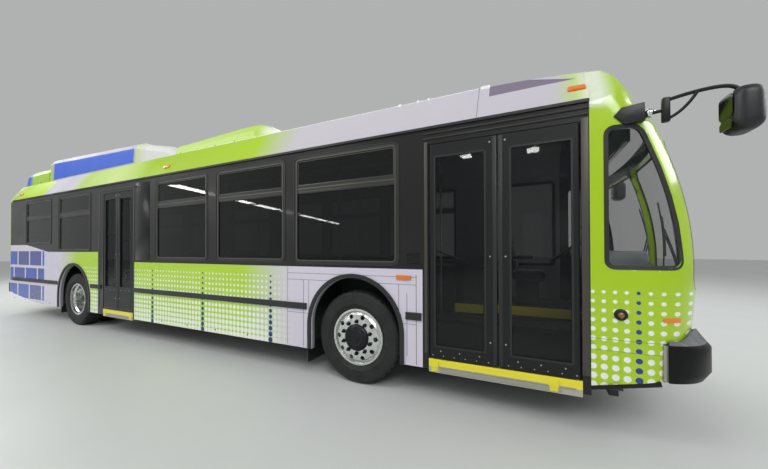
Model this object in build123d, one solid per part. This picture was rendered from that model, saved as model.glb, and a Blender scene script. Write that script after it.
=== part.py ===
"""A 40-foot low-floor city bus as separate solids, in millimetres.

X runs forward, Y to the driver's side, Z up. The origin is on the ground under the middle of the body.
Stations marked "from the front axle" become X through the function along().
"""
from build123d import *
import math
import os

# Overall sizes
WHEELBASE = 6200
FRONT_OVERHANG = 2950
REAR_OVERHANG = 3140
HALF_WIDTH = 1295
SKIRT_Z = 316
RAIL_Z = 2556
CROWN_Z = 3050
COVE_TOP_Z = 2930
COVE_INSET = 215
WALL = 60

# Front mask and rear cap
MASK_BACK = 2090        # from the front axle
MASK_SKIRT_Z = 412
NOSE_X = 2870           # foremost point of the mask, from the front axle
NOSE_CORNER_R = 350
NOSE_CORNER_TO_TIP = 420
REAR_CAP_DEPTH = 290
REAR_CORNER_R = 110
REAR_CORNER_TO_TIP = 125
BUMPER_Z = (485, 745)
BUMPER_LIP = 50         # rise of the sloping top behind the bumper face
BUMPER_START = 2550     # from the front axle
BUMPER_DEPTH = 110
REAR_BUMPER_Z = (480, 680)
TAIL_Z = 480            # underside of the skirt at the tail

# Floor
FLOOR_Z = 400
FLOOR_THICK = 40
STEP_X = -5250          # front of the raised floor, from the front axle
RAISED_Z = 790
ENGINE_X = -8150        # front of the engine deck, from the front axle
ENGINE_DECK_Z = 1140
FLOOR_FRONT = 2300      # from the front axle

# Wheels
WHEEL_R = 492
TYRE_WIDTH = 290
TYRE_OUTER_Y = 1240
RIM_R = 298
RIM_SEAT_R = 286
RIM_WELL_R = 262
RIM_SHEET = 9
BEAD_HALF = 111         # half the distance between the flanges
FLANGE = 12
DISC_THICK = 14
DISC_OFFSET_REAR = 165  # from the middle of the rim to the mounting face
DISC_OFFSET_FRONT = 139
HUB_BORE_R = 38
REAR_STUB_R = 46
RUNNING_GAP = 0.3
STEER_Y = 920
KINGPIN_R = 20
ARCH_R_FRONT = 540
ARCH_R_REAR = 595
ARCH_TOP_FRONT = 1128
ARCH_TOP_REAR = 1144
HOUSING_HALF = 650
HOUSING_INNER_Y = 545
HOUSING_TOP_Z = 1175
HOUSING_SHEET = 12
AXLE_SLOT = 130

# Doors
DOOR_GAP = 6
SEAM_GAP = 10
LEAF_THICK = 45
LEAF_BOTTOM_Z = 420
LEAF_TOP_Z = 2396
SILL_Z = (290, 412)
PIN_R = 9
PIN_DEPTH = 30
HINGE_R = 14
HINGE_PIN_R = 6

# Windows
GLASS_THICK = 8
FRAME_WIDTH = 34
FRAME_DEPTH = 36
BAR_Z = (2088, 2136)
WINDOW_TOP = 2445
DOOR_GLASS_CORNER = 15


def along(x):
    """X of a station measured forward from the front axle."""
    return x + (REAR_OVERHANG + WHEELBASE - FRONT_OVERHANG) / 2


REAR_X = along(-WHEELBASE - REAR_OVERHANG)
REAR_AXLE = -WHEELBASE
MASK_X = along(MASK_BACK)
CAP_X = REAR_X + REAR_CAP_DEPTH


# Helpers: each makes a solid from limits along the axes
def block(x_low, x_high, y_low, y_high, z_low, z_high):
    size = (x_high - x_low, y_high - y_low, z_high - z_low)
    middle = ((x_low + x_high) / 2, (y_low + y_high) / 2, (z_low + z_high) / 2)
    return Pos(*middle) * Box(*size)


def side_plate(face, y_low, y_high):
    """Extrude a face drawn in X and Z from y_low to y_high."""
    return extrude(Plane.XZ.offset(-y_high) * face, y_high - y_low)


def cross_plate(face, x_low, x_high):
    """Extrude a face drawn in Y and Z from x_low to x_high."""
    return extrude(Plane.YZ.offset(x_low) * face, x_high - x_low)


def rounded(x_low, x_high, z_low, z_high, radius):
    width, height = x_high - x_low, z_high - z_low
    return Pos((x_low + x_high) / 2, (z_low + z_high) / 2) * RectangleRounded(width, height, radius)


def polygon(*points):
    return make_face(Polyline(*points, close=True))


def rod_y(radius, y_low, y_high, x=0, z=0):
    return Pos(x, (y_low + y_high) / 2, z) * Rot(90, 0, 0) * Cylinder(radius, y_high - y_low)


def rod_z(radius, z_low, z_high, x=0, y=0):
    return Pos(x, y, (z_low + z_high) / 2) * Cylinder(radius, z_high - z_low)


def rod_x(radius, x_low, x_high, y=0, z=0):
    return Pos((x_low + x_high) / 2, y, z) * Rot(0, 90, 0) * Cylinder(radius, x_high - x_low)


def both_sides(solid):
    return [solid, mirror(solid, Plane.XZ)]


def save(name, *shapes):
    solids = []
    for shape in shapes:
        solids += list(shape) if isinstance(shape, (list, ShapeList)) else [shape]
    flat = []
    for solid in solids:
        flat += solid.solids()
    shape = flat[0] if len(flat) == 1 else Compound(children=flat)
    shape.label = name
    export_step(shape, f"parts/{name}.step")


# Body outline: the cross-section in Y and Z, and the plan of the nose and the tail
def body_section(inset=0):
    half = HALF_WIDTH
    top = HALF_WIDTH - COVE_INSET
    lines = [
        Line((-top, COVE_TOP_Z), (-half, RAIL_Z)),
        Line((-half, RAIL_Z), (-half, -inset)),
        Line((-half, -inset), (half, -inset)),
        Line((half, -inset), (half, RAIL_Z)),
        Line((half, RAIL_Z), (top, COVE_TOP_Z)),
        ThreePointArc((top, COVE_TOP_Z), (0, CROWN_Z), (-top, COVE_TOP_Z)),
    ]
    face = make_face(lines)
    return offset(face, amount=-inset, kind=Kind.INTERSECTION) if inset else face


def end_outline(tip, corner_r, corner_to_tip, inset, back):
    """Plan of one end: straight sides, round corners and a bowed face, all tangent."""
    r = corner_r - inset
    reach = corner_to_tip - inset
    centre_y = HALF_WIDTH - corner_r
    bow_r = (reach**2 + centre_y**2 - r**2) / (2 * (reach - r))
    side = tip - corner_to_tip
    tip = tip - inset
    lean = math.atan2(centre_y, side - (tip - bow_r))
    meet = (side + r * math.cos(lean), centre_y + r * math.sin(lean))
    half_turn = (lean + math.pi / 2) / 2
    bend = (side + r * math.cos(half_turn), centre_y + r * math.sin(half_turn))
    half = HALF_WIDTH - inset
    far_bend = (bend[0], -bend[1])
    far_meet = (meet[0], -meet[1])
    return make_face([
        Line((back, -half), (side, -half)),
        ThreePointArc((side, -half), far_bend, far_meet),
        ThreePointArc(far_meet, (tip, 0), meet),
        ThreePointArc(meet, bend, (side, half)),
        Line((side, half), (back, half)),
        Line((back, half), (back, -half)),
    ])


# The nose leans back as it rises: height, and how far its tip lies behind NOSE_X
NOSE_LEAN = [
    (250, 62),
    (780, 34),
    (1270, 0),
    (1750, 42),
    (2250, 180),
    (2650, 360),
    (3070, 760),
]


def nose_solid(inset=0):
    sections = []
    for z, lean in NOSE_LEAN:
        face = end_outline(along(NOSE_X) - lean, NOSE_CORNER_R, NOSE_CORNER_TO_TIP, inset, along(600))
        sections.append(Pos(0, 0, z) * face)
    front = loft(sections)
    return front & cross_plate(body_section(inset), MASK_X, along(FRONT_OVERHANG))


def tail_solid(inset=0):
    face = end_outline(-REAR_X, REAR_CORNER_R, REAR_CORNER_TO_TIP, inset, -CAP_X)
    tail = extrude(mirror(face, Plane.YZ), CROWN_Z)
    return tail & cross_plate(body_section(inset), REAR_X, CAP_X)


# Quarter window seen from the side: rear edge, bottom and top, and the bow of its front edge
QUARTER = dict(back=2195, z=(1286, 2320), bow=[(2638, 1286), (2590, 1725), (2405, 2320)])


def quarter_window():
    back = along(QUARTER["back"])
    low, high = QUARTER["z"]
    foot, middle, head = [(along(x), z) for x, z in QUARTER["bow"]]
    face = make_face([
        Line((back, low), foot),
        ThreePointArc(foot, middle, head),
        Line(head, (back, high)),
        Line((back, high), (back, low)),
    ])
    return fillet(face.vertices(), 60)


# Front view outlines, in Y and Z
WINDSHIELD = dict(y=1150, z=(1130, 2230), post=18)
SIGN = dict(y=820, z=(2330, 2590))


def windshield_panes():
    pane = rounded(WINDSHIELD["post"], WINDSHIELD["y"], *WINDSHIELD["z"], 90)
    return [pane, mirror(pane, Plane.YZ)]


def sign_pane():
    return rounded(-SIGN["y"], SIGN["y"], *SIGN["z"], 60)


def front_mask():
    mask = nose_solid() - nose_solid(WALL)
    reach = (along(MASK_BACK), along(FRONT_OVERHANG))
    mask -= block(*reach, -HALF_WIDTH, HALF_WIDTH, 0, MASK_SKIRT_Z)
    mask -= block(along(BUMPER_START), reach[1], -HALF_WIDTH, HALF_WIDTH, 0, BUMPER_Z[1])
    for face in windshield_panes() + [sign_pane()]:
        mask -= cross_plate(face, along(2150), reach[1])
    mask -= side_plate(quarter_window(), -HALF_WIDTH, HALF_WIDTH)
    holes = headlamp_holes()
    return mask - holes - mirror(holes, Plane.XZ)


def front_glass():
    skin = nose_solid(6) - nose_solid(6 + GLASS_THICK)
    panes = []
    for face in windshield_panes() + [sign_pane()]:
        panes += (skin & cross_plate(face, along(2150), along(FRONT_OVERHANG))).solids()
    quarter = skin & side_plate(quarter_window(), -HALF_WIDTH, HALF_WIDTH)
    return panes + quarter.solids()


def rear_cap():
    cap = tail_solid() - tail_solid(WALL)
    cap -= block(REAR_X, CAP_X, -HALF_WIDTH, HALF_WIDTH, 0, TAIL_Z)
    low, high = ENGINE_DOOR["z"]
    half = ENGINE_DOOR["half"]
    gap = DOOR_GAP
    cap -= block(REAR_X, CAP_X, -half - gap, half + gap, low - gap, high + gap)
    for part in engine_hinge()[0]:
        cap += part
    return cap


ENGINE_DOOR = dict(half=850, z=(720, 1560), thick=40)

# Side windows: rear edge and front edge from the front axle, bottom, and whether it has a bar
WINDOWS_RIGHT = [
    (-8300, -7130, 1580, True),
    (-6740, -5540, 1440, True),
    (-3480, -2350, 1312, True),
    (-2103, -970, 1312, True),
    (-760, 478, 1300, True),
]
WINDOWS_LEFT = WINDOWS_RIGHT + [
    (-5080, -3860, 1312, True),
    (1000, 2000, 1200, False),
]

# Doors: name, rear edge and front edge of the opening from the front axle, and the glass of one leaf
# as distances from the hinge edge, the seam edge, and the heights of its bottom and top
DOORS = [
    ("front", 815, 2035, 53, 95, 530, 2280),
    ("rear", -5060, -4140, 53, 62, 800, 2300),
]

# Wheel arches: station from the front axle, radius, top height
ARCHES = [
    (-14, ARCH_R_FRONT, ARCH_TOP_FRONT),
    (-6150, ARCH_R_REAR, ARCH_TOP_REAR),
]


def arch_face(station, radius, top, grow=0):
    middle = top - radius
    x = along(station)
    circle = Pos(x, middle) * Circle(radius + grow)
    legs = Pos(x, middle / 2) * Rectangle(2 * (radius + grow), middle)
    return circle + legs


def skirt_line():
    """Side outline below the drip rail, with the underside that rises behind the rear wheels."""
    return polygon(
        (CAP_X, RAIL_Z),
        (CAP_X, TAIL_Z - 20),
        (along(-7900), 330),
        (along(-6700), SKIRT_Z),
        (MASK_X, SKIRT_Z),
        (MASK_X, RAIL_Z),
    )


def side_wall(windows, doors):
    face = skirt_line()
    for station, radius, top in ARCHES:
        face -= arch_face(station, radius, top)
    for back, front, low, _ in windows:
        face -= rounded(along(back) - FRAME_WIDTH, along(front) + FRAME_WIDTH,
                        low - FRAME_WIDTH, WINDOW_TOP + FRAME_WIDTH, 70)
    for _, back, front, *_ in doors:
        face -= Pos(along((back + front) / 2), (LEAF_TOP_Z + DOOR_GAP) / 2) * Rectangle(
            front - back, LEAF_TOP_Z + DOOR_GAP)
    wall = side_plate(face, -HALF_WIDTH, -HALF_WIDTH + WALL)
    for _, back, front, *_ in doors:
        for x in hinge_stations(back, front):
            low = LEAF_TOP_Z - PIN_DEPTH
            wall += rod_z(PIN_R, low, LEAF_TOP_Z + DOOR_GAP, x, HINGE_Y)
    return wall


HINGE_Y = -HALF_WIDTH + LEAF_THICK / 2


def hinge_stations(back, front):
    """X of the two leaf hinges of a door opening."""
    in_from_jamb = DOOR_GAP + LEAF_THICK / 2
    return along(back) + in_from_jamb, along(front) - in_from_jamb


def window_frames(windows):
    frames = []
    for back, front, low, has_bar in windows:
        outer = rounded(along(back) - FRAME_WIDTH, along(front) + FRAME_WIDTH,
                        low - FRAME_WIDTH, WINDOW_TOP + FRAME_WIDTH, 70)
        face = outer - rounded(along(back), along(front), low, WINDOW_TOP, 40)
        if has_bar:
            face += rounded(along(back), along(front), *BAR_Z, 1)
        frames.append(side_plate(face, -HALF_WIDTH, -HALF_WIDTH + FRAME_DEPTH))
    return frames


def window_glass(windows):
    panes = []
    y = -HALF_WIDTH + 10
    for back, front, low, has_bar in windows:
        face = rounded(along(back), along(front), low, WINDOW_TOP, 40)
        if has_bar:
            face -= rounded(along(back), along(front), *BAR_Z, 1)
        panes += side_plate(face, y, y + GLASS_THICK).solids()
    return panes


def leaf(door, side):
    """Frame and glass of one door leaf. Side -1 hinges at the rear jamb, +1 at the front jamb."""
    _, back, front, at_hinge, at_seam, low, high = door
    hinge_x = hinge_stations(back, front)[0 if side < 0 else 1]
    edge = hinge_x + side * LEAF_THICK / 2
    seam = along((back + front) / 2) + side * SEAM_GAP / 2
    outer_y = -HALF_WIDTH
    body = block(min(hinge_x, seam), max(hinge_x, seam), outer_y, outer_y + LEAF_THICK,
                 LEAF_BOTTOM_Z, LEAF_TOP_Z)
    body += rod_z(LEAF_THICK / 2, LEAF_BOTTOM_Z, LEAF_TOP_Z, hinge_x, HINGE_Y)
    glass_x = sorted((edge - side * at_hinge, seam + side * at_seam))
    opening = rounded(*glass_x, low, high, DOOR_GLASS_CORNER)
    body -= side_plate(opening, outer_y, outer_y + LEAF_THICK)
    for z_low in (LEAF_BOTTOM_Z, LEAF_TOP_Z - PIN_DEPTH):
        body -= rod_z(PIN_R + RUNNING_GAP, z_low, z_low + PIN_DEPTH, hinge_x, HINGE_Y)
    glass = side_plate(opening, outer_y + 12, outer_y + 12 + GLASS_THICK)
    handle_x = (glass_x[0] if side > 0 else glass_x[1]) - side * 25
    handle_y = outer_y + LEAF_THICK + 45
    handle = rod_z(14, 900, 1500, handle_x, handle_y)
    for z in (930, 1470):
        handle += rod_y(10, outer_y + LEAF_THICK - 2, handle_y, handle_x, z)
    return body + handle, glass


def door_sill(door):
    _, back, front, *_ = door
    low, high = SILL_Z
    sill = block(along(back), along(front), -HALF_WIDTH, -HALF_WIDTH + WALL, low, high)
    for x in hinge_stations(back, front):
        sill += rod_z(PIN_R, high, LEAF_BOTTOM_Z + PIN_DEPTH, x, HINGE_Y)
    return sill


# Roof
HATCHES = [("front", 900), ("rear", -700)]
HATCH = dict(length=620, width=620, lift=45, curb=30, lid=30)
ROOF_PANELS = [("front", along(100), MASK_X), ("middle", along(-3560), along(100)),
               ("rear", CAP_X, along(-3560))]


def roof_shell(start, end):
    """Roof and coves between two stations, with the curb and hinges of each hatch on it."""
    shell = cross_plate(body_section() - body_section(WALL), start, end)
    shell -= block(start, end, -HALF_WIDTH, HALF_WIDTH, -WALL, RAIL_Z)
    for _, station in HATCHES:
        half_x, half_y = HATCH["length"] / 2, HATCH["width"] / 2
        x = along(station)
        if not start < x < end:
            continue
        top = CROWN_Z + HATCH["lift"]
        shell += block(x - half_x, x + half_x, -half_y, half_y, CROWN_Z - WALL - 6, top)
        thick = HATCH["curb"]
        shell -= block(x - half_x + thick, x + half_x - thick, -half_y + thick, half_y - thick,
                       CROWN_Z - 200, top)
        for part in hatch_hinge(x)[0]:
            shell += part
    return shell


def hinge(axis_x, axis_z, y_list, ear_foot, arm_foot):
    """Pinned hinges along Y. The feet are blocks (x_low, x_high, z_low, z_high) about the axis."""
    fixed, moving = [], []
    for y in y_list:
        part = rod_y(HINGE_PIN_R, y - 44, y + 44, axis_x, axis_z)
        for ear_y in (y - 34, y + 34):
            part += rod_y(HINGE_R, ear_y - 10, ear_y + 10, axis_x, axis_z)
            part += block(axis_x + ear_foot[0], axis_x + ear_foot[1], ear_y - 10, ear_y + 10,
                          axis_z + ear_foot[2], axis_z + ear_foot[3])
        fixed.append(part)
        arm = rod_y(HINGE_R, y - 17, y + 17, axis_x, axis_z)
        arm += block(axis_x + arm_foot[0], axis_x + arm_foot[1], y - 17, y + 17,
                     axis_z + arm_foot[2], axis_z + arm_foot[3])
        moving.append(arm - rod_y(HINGE_PIN_R + RUNNING_GAP, y - 20, y + 20, axis_x, axis_z))
    return fixed, moving


def hatch_hinge(x):
    """Fixed and moving halves of a hatch hinge at the forward edge, and its axis."""
    axis_x = x + HATCH["length"] / 2 + 22
    axis_z = CROWN_Z + HATCH["lift"] + 12
    fixed, moving = hinge(axis_x, axis_z, (-180, 180), (-24, 4, -46, -8), (-60, 0, 2, 14))
    return fixed, moving, axis_x, axis_z


def hatch_lid(station):
    x = along(station)
    half_x, half_y = HATCH["length"] / 2 + 12, HATCH["width"] / 2 + 12
    low = CROWN_Z + HATCH["lift"] + 6
    lid = block(x - half_x, x + half_x - 12, -half_y, half_y, low, low + HATCH["lid"])
    lid = fillet(lid.edges().group_by(Axis.Z)[-1], 14)
    _, moving, axis_x, axis_z = hatch_hinge(x)
    for y, arm in zip((-180, 180), moving):
        lid -= block(axis_x - 40, axis_x + 20, y - 60, y + 60, low - 1, axis_z + 60)
        lid += arm
    return lid


# Roof fairings as lofts: station from the front axle, half width at the foot, and height of the top
BATTERY_FAIRING = [
    (-8060, 1010, 3310),
    (-7960, 1060, 3425),
    (-7850, 1060, 3450),
    (-4560, 1060, 3335),
    (-4440, 1000, 3305),
    (-4280, 960, 3285),
    (-3980, 930, 3230),
    (-3810, 900, 3155),
    (-3730, 870, 3085),
]
SIDE_FAIRING = [
    (-3650, 950, 3105),
    (-3570, 995, 3160),
    (-2050, 1000, 3212),
    (-1800, 990, 3215),
    (-1630, 950, 3165),
    (-1510, 900, 3075),
]
TAIL_FAIRING = [
    (-9325, 990, 3125),
    (-9270, 1040, 3235),
    (-9150, 1050, 3290),
    (-8061, 1050, 3287),
]
FAIRING_FOOT_Z = 2880


def fairing(stations):
    sections = []
    for x, half, top in stations:
        outline = [(half, FAIRING_FOOT_Z), (half - 20, top - 130), (half - 60, top - 45), (half - 150, top)]
        far_side = [(-y, z) for y, z in reversed(outline)]
        sections.append(Plane.YZ.offset(along(x)) * polygon(*outline, *far_side))
    body = loft(sections, ruled=True)
    return body - cross_plate(body_section(), along(stations[0][0]) - 1, along(stations[-1][0]) + 1)


# Bumpers
def front_bumper():
    tip = along(FRONT_OVERHANG)
    low, high = BUMPER_Z
    layers = [(low, 40), (low + 60, 0), (high - 30, 0), (high, 22), (high + BUMPER_LIP, 85)]

    def stack(inset):
        sections = []
        for z, lean in layers:
            face = end_outline(tip - lean, NOSE_CORNER_R, NOSE_CORNER_TO_TIP, inset, along(MASK_BACK))
            sections.append(Pos(0, 0, z) * face)
        return loft(sections, ruled=True)

    bar = stack(0) - stack(BUMPER_DEPTH)
    reach = (-HALF_WIDTH, HALF_WIDTH, high, high + BUMPER_LIP)
    bar -= nose_solid() & block(along(MASK_BACK), along(FRONT_OVERHANG), *reach)
    return bar - block(along(MASK_BACK), along(BUMPER_START), -HALF_WIDTH, HALF_WIDTH, low, reach[-1])


def rear_bumper():
    low, high = REAR_BUMPER_Z
    outer = mirror(end_outline(-REAR_X + 60, REAR_CORNER_R, REAR_CORNER_TO_TIP, 0, -CAP_X), Plane.YZ)
    inner = mirror(end_outline(-REAR_X, REAR_CORNER_R, REAR_CORNER_TO_TIP, 0, -CAP_X), Plane.YZ)
    bar = extrude(Pos(0, 0, low) * outer, high - low) - extrude(Pos(0, 0, low) * inner, high - low)
    return bar - block(REAR_X + 170, CAP_X + 10, -HALF_WIDTH - 90, HALF_WIDTH + 90, low, high)


# Wheel housings and floor
def wheel_housing(station, top):
    x = along(station)
    outer = block(x - HOUSING_HALF, x + HOUSING_HALF, -HALF_WIDTH + WALL, -HOUSING_INNER_Y,
                  UNDER_FLOOR_Z, top)
    sheet = HOUSING_SHEET
    inner = block(x - HOUSING_HALF + sheet, x + HOUSING_HALF - sheet, -HALF_WIDTH,
                  -HOUSING_INNER_Y - sheet, 0, top - sheet)
    way_through = block(x - AXLE_SLOT, x + AXLE_SLOT, -HALF_WIDTH, -HOUSING_INNER_Y, 0, HUB_Z + AXLE_SLOT)
    return outer - inner - way_through


def cabin_floor():
    half = HALF_WIDTH - WALL
    thick = FLOOR_THICK
    floor = block(along(STEP_X), along(FLOOR_FRONT), -half, half, FLOOR_Z - thick, FLOOR_Z)
    floor += block(along(STEP_X), along(STEP_X) + thick, -half, half, FLOOR_Z, RAISED_Z)
    floor += block(along(ENGINE_X), along(STEP_X) + thick, -half, half, RAISED_Z - thick, RAISED_Z)
    floor += block(along(ENGINE_X), along(ENGINE_X) + thick, -half, half, RAISED_Z, ENGINE_DECK_Z)
    floor += block(CAP_X, along(ENGINE_X) + thick, -half, half, ENGINE_DECK_Z - thick, ENGINE_DECK_Z)
    for station in (0, REAR_AXLE):
        for y in ((-half, -HOUSING_INNER_Y), (HOUSING_INNER_Y, half)):
            floor -= block(along(station) - HOUSING_HALF, along(station) + HOUSING_HALF, *y, 0, 900)
    return floor


# Chassis: two stepped rails with tow eyes, and cross members between and outside them
RAIL_Y = (380, 460)
RAIL_HEIGHT = 90
LOW_CROSS_MEMBERS = (-4900, -3900, -2900, -1900, -900, 900, 1800, 2250)
HIGH_CROSS_MEMBERS = (-5600, -7000, -7700)
UNDER_FLOOR_Z = FLOOR_Z - FLOOR_THICK
UNDER_RAISED_Z = RAISED_Z - FLOOR_THICK


def low_rail():
    """Left rail under the low floor, with its tow eye."""
    top = UNDER_FLOOR_Z
    rail = block(along(STEP_X), along(2500), *RAIL_Y, top - RAIL_HEIGHT, top)
    eye = block(along(2500), along(2720), 405, 435, top - RAIL_HEIGHT, top)
    return rail + eye - rod_y(22, 405, 435, along(2680), top - RAIL_HEIGHT / 2)


def high_rail():
    """Left rail under the raised floor, with the riser that stands on the low one's end."""
    riser = block(along(STEP_X - 80), along(STEP_X), *RAIL_Y, UNDER_FLOOR_Z - RAIL_HEIGHT, UNDER_RAISED_Z)
    return riser + block(CAP_X, along(STEP_X), *RAIL_Y, UNDER_RAISED_Z - 110, UNDER_RAISED_Z)


def cross_members():
    half = HALF_WIDTH - WALL - 40
    parts = []
    for station in LOW_CROSS_MEMBERS:
        x = along(station)
        parts.append(block(x - 30, x + 30, -RAIL_Y[0], RAIL_Y[0], UNDER_FLOOR_Z - 60, UNDER_FLOOR_Z))
        parts += both_sides(block(x - 30, x + 30, RAIL_Y[1], half, UNDER_FLOOR_Z - 60, UNDER_FLOOR_Z))
    for station in HIGH_CROSS_MEMBERS:
        x = along(station)
        parts.append(block(x - 30, x + 30, -RAIL_Y[0], RAIL_Y[0], UNDER_RAISED_Z - 90, UNDER_RAISED_Z))
    return parts


# Axles, knuckles and wheels
HUB_Z = WHEEL_R
BEAM_Z = (170, 240)


def front_axle():
    x = along(0)
    low, high = BEAM_Z
    beam = block(x - 45, x + 45, -700, 700, low, high)
    for side in (-1, 1):
        arm = polygon((side * 640, low), (side * 700, low), (side * 815, 400), (side * 825, 450),
                      (side * 900, 450), (side * 900, 534), (side * 790, 534), (side * 640, high))
        beam += cross_plate(arm, x - 45, x + 45)
        beam += rod_z(38, HUB_Z - 50, HUB_Z + 50, x, side * STEER_Y)
        beam += rod_z(KINGPIN_R, HUB_Z - 100, HUB_Z + 100, x, side * STEER_Y)
    return beam


def knuckle():
    """Right knuckle: two lugs on the kingpin, a web outboard of it, the spindle and the steering arm."""
    x, y = along(0), -STEER_Y
    body = block(x - 60, x + 60, y - 86, y - 52, HUB_Z - 96, HUB_Z + 96)
    for low in (HUB_Z - 96, HUB_Z + 56):
        lug = rod_z(46, low, low + 40, x, y)
        lug += block(x - 46, x + 46, y - 60, y, low, low + 40)
        body += lug
    body += rod_y(HUB_BORE_R, -1180, y - 60, x, HUB_Z)
    body += block(x - 190, x, y - 22, y + 22, HUB_Z - 96, HUB_Z - 66)
    body += rod_z(30, HUB_Z - 96, HUB_Z - 66, x - 190, y)
    body -= rod_z(KINGPIN_R + RUNNING_GAP, HUB_Z - 110, HUB_Z + 110, x, y)
    return body


WHEEL_MID_Y = -TYRE_OUTER_Y + TYRE_WIDTH / 2


def tyre():
    """Right tyre about the axis Y, from the bead seats to the tread."""
    half = TYRE_WIDTH / 2
    seat = RIM_SEAT_R
    tread = WHEEL_R
    bulge = seat + 100
    face = make_face([
        Line((-BEAD_HALF, seat), (-BEAD_HALF, RIM_R + 2)),
        Line((-BEAD_HALF, RIM_R + 2), (-half + 12, RIM_R + 30)),
        ThreePointArc((-half + 12, RIM_R + 30), (-half, bulge), (-half + 14, tread - 26)),
        ThreePointArc((-half + 14, tread - 26), (-half + 21, tread - 8), (-half + 40, tread - 1)),
        ThreePointArc((-half + 40, tread - 1), (0, tread), (half - 40, tread - 1)),
        ThreePointArc((half - 40, tread - 1), (half - 21, tread - 8), (half - 14, tread - 26)),
        ThreePointArc((half - 14, tread - 26), (half, bulge), (half - 12, RIM_R + 30)),
        Line((half - 12, RIM_R + 30), (BEAD_HALF, RIM_R + 2)),
        Line((BEAD_HALF, RIM_R + 2), (BEAD_HALF, seat)),
        Line((BEAD_HALF, seat), (-BEAD_HALF, seat)),
    ])
    return revolve(Plane.YZ * (Pos(WHEEL_MID_Y, 0) * face), Axis.Y)


def revolved(points):
    """Revolve a closed outline of (y, radius) points about the axis Y."""
    return revolve(Plane.YZ * polygon(*points), Axis.Y)


def rim_barrel():
    """Rim of the right wheel: flanges, bead seats and drop centre, in sheet of one thickness."""
    edge = BEAD_HALF + FLANGE
    outside = [(-edge, RIM_R), (-BEAD_HALF, RIM_R), (-BEAD_HALF, RIM_SEAT_R), (-80, RIM_SEAT_R - 2),
               (-60, RIM_WELL_R), (60, RIM_WELL_R), (80, RIM_SEAT_R - 2), (BEAD_HALF, RIM_SEAT_R),
               (BEAD_HALF, RIM_R), (edge, RIM_R)]
    seat_back = RIM_SEAT_R - RIM_SHEET
    well_back = RIM_WELL_R - RIM_SHEET
    inside = [(edge, seat_back), (84, seat_back - 2), (64, well_back), (-64, well_back),
              (-84, seat_back - 2), (-edge, seat_back)]
    return revolved([(WHEEL_MID_Y + y, r) for y, r in outside + inside])


HAND_HOLES = dict(count=10, ring_r=222, r=24)


def hand_holes(y_low, y_high):
    holes = None
    for index in range(HAND_HOLES["count"]):
        angle = 360 / HAND_HOLES["count"] * index
        hole = Rot(0, angle, 0) * rod_y(HAND_HOLES["r"], y_low, y_high, HAND_HOLES["ring_r"], 0)
        holes = hole if holes is None else holes + hole
    return holes


def front_wheel():
    """Right front wheel about the axis Y: rim, outward disc with hand holes, hub, drum and cap."""
    face = WHEEL_MID_Y - DISC_OFFSET_FRONT
    back = face + DISC_THICK + 8
    disc = revolved([
        (face + 46, RIM_SEAT_R - 5), (face + 12, 242), (face, 202), (face, 90), (back, 90),
        (back, 198), (back + 14, 230), (back + 56, RIM_SEAT_R - 5),
    ])
    hub = revolved([(back, 0), (back, 150), (back + 14, 150), (back + 24, 95), (-1012, 95), (-1012, 0)])
    drum = revolved([(-1160, 90), (-1160, 205), (-1012, 205), (-1012, 190), (-1146, 190), (-1146, 90)])
    cap = revolved([(face - 30, 0), (face - 30, 92), (face - 20, 116), (face, 137), (back, 137), (back, 0)])
    wheel = rim_barrel() + disc + hub + drum + cap - hand_holes(face - 10, back + 60)
    return wheel - rod_y(HUB_BORE_R + RUNNING_GAP, -1184, -1000)


def rear_wheel():
    """Right rear twin wheel about the axis Y: two like rims back to back on one hub."""
    face = WHEEL_MID_Y + DISC_OFFSET_REAR
    front = face - DISC_THICK
    disc = revolved([
        (-1050, RIM_WELL_R - 2), (-990, 246), (front - 8, 225), (front, 205), (front, 90), (face, 90),
        (face, 208), (face - 10, 236), (-985, 258), (-1040, RIM_WELL_R - 2),
    ])
    rim = rim_barrel() + disc - hand_holes(face - 60, face + 10)
    pair = rim + mirror(rim, Plane.XZ.offset(-face))
    hub = revolved([
        (-1128, 0), (-1128, 70), (-1112, 112), (-1000, 130), (-950, 140), (-880, 140), (-700, 120),
        (-700, 0),
    ])
    return pair + hub - rod_y(REAR_STUB_R + RUNNING_GAP, -905, -690)


def rear_axle():
    x = along(REAR_AXLE)
    axle = rod_y(85, -640, 640, x, HUB_Z)
    axle += Pos(x, 0, HUB_Z) * Sphere(205)
    axle += rod_x(70, x - 330, x, 0, HUB_Z)
    for side in (-1, 1):
        axle += rod_y(REAR_STUB_R, *sorted((side * 600, side * 900)), x, HUB_Z)
    return axle


def air_springs():
    springs = []
    for side in (-1, 1):
        springs.append(rod_z(75, BEAM_Z[1], UNDER_FLOOR_Z - 90, along(0), side * 420))
        springs.append(rod_z(120, 577, UNDER_RAISED_Z - 110, along(REAR_AXLE), side * 420))
    return springs


def engine_block():
    return block(along(-8950), along(-8230), -380, 380, 540, ENGINE_DECK_Z - FLOOR_THICK - 20)


# Trim
RUB_Z = (752, 822)
RUB_OUT = 14


def arch_trim(station, radius, top):
    ring = arch_face(station, radius, top, 42) - arch_face(station, radius, top)
    ring &= Pos(along(station), 800) * Rectangle(3 * radius, 2 * (800 - SKIRT_Z))
    return side_plate(ring, -HALF_WIDTH - 16, -HALF_WIDTH)


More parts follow.
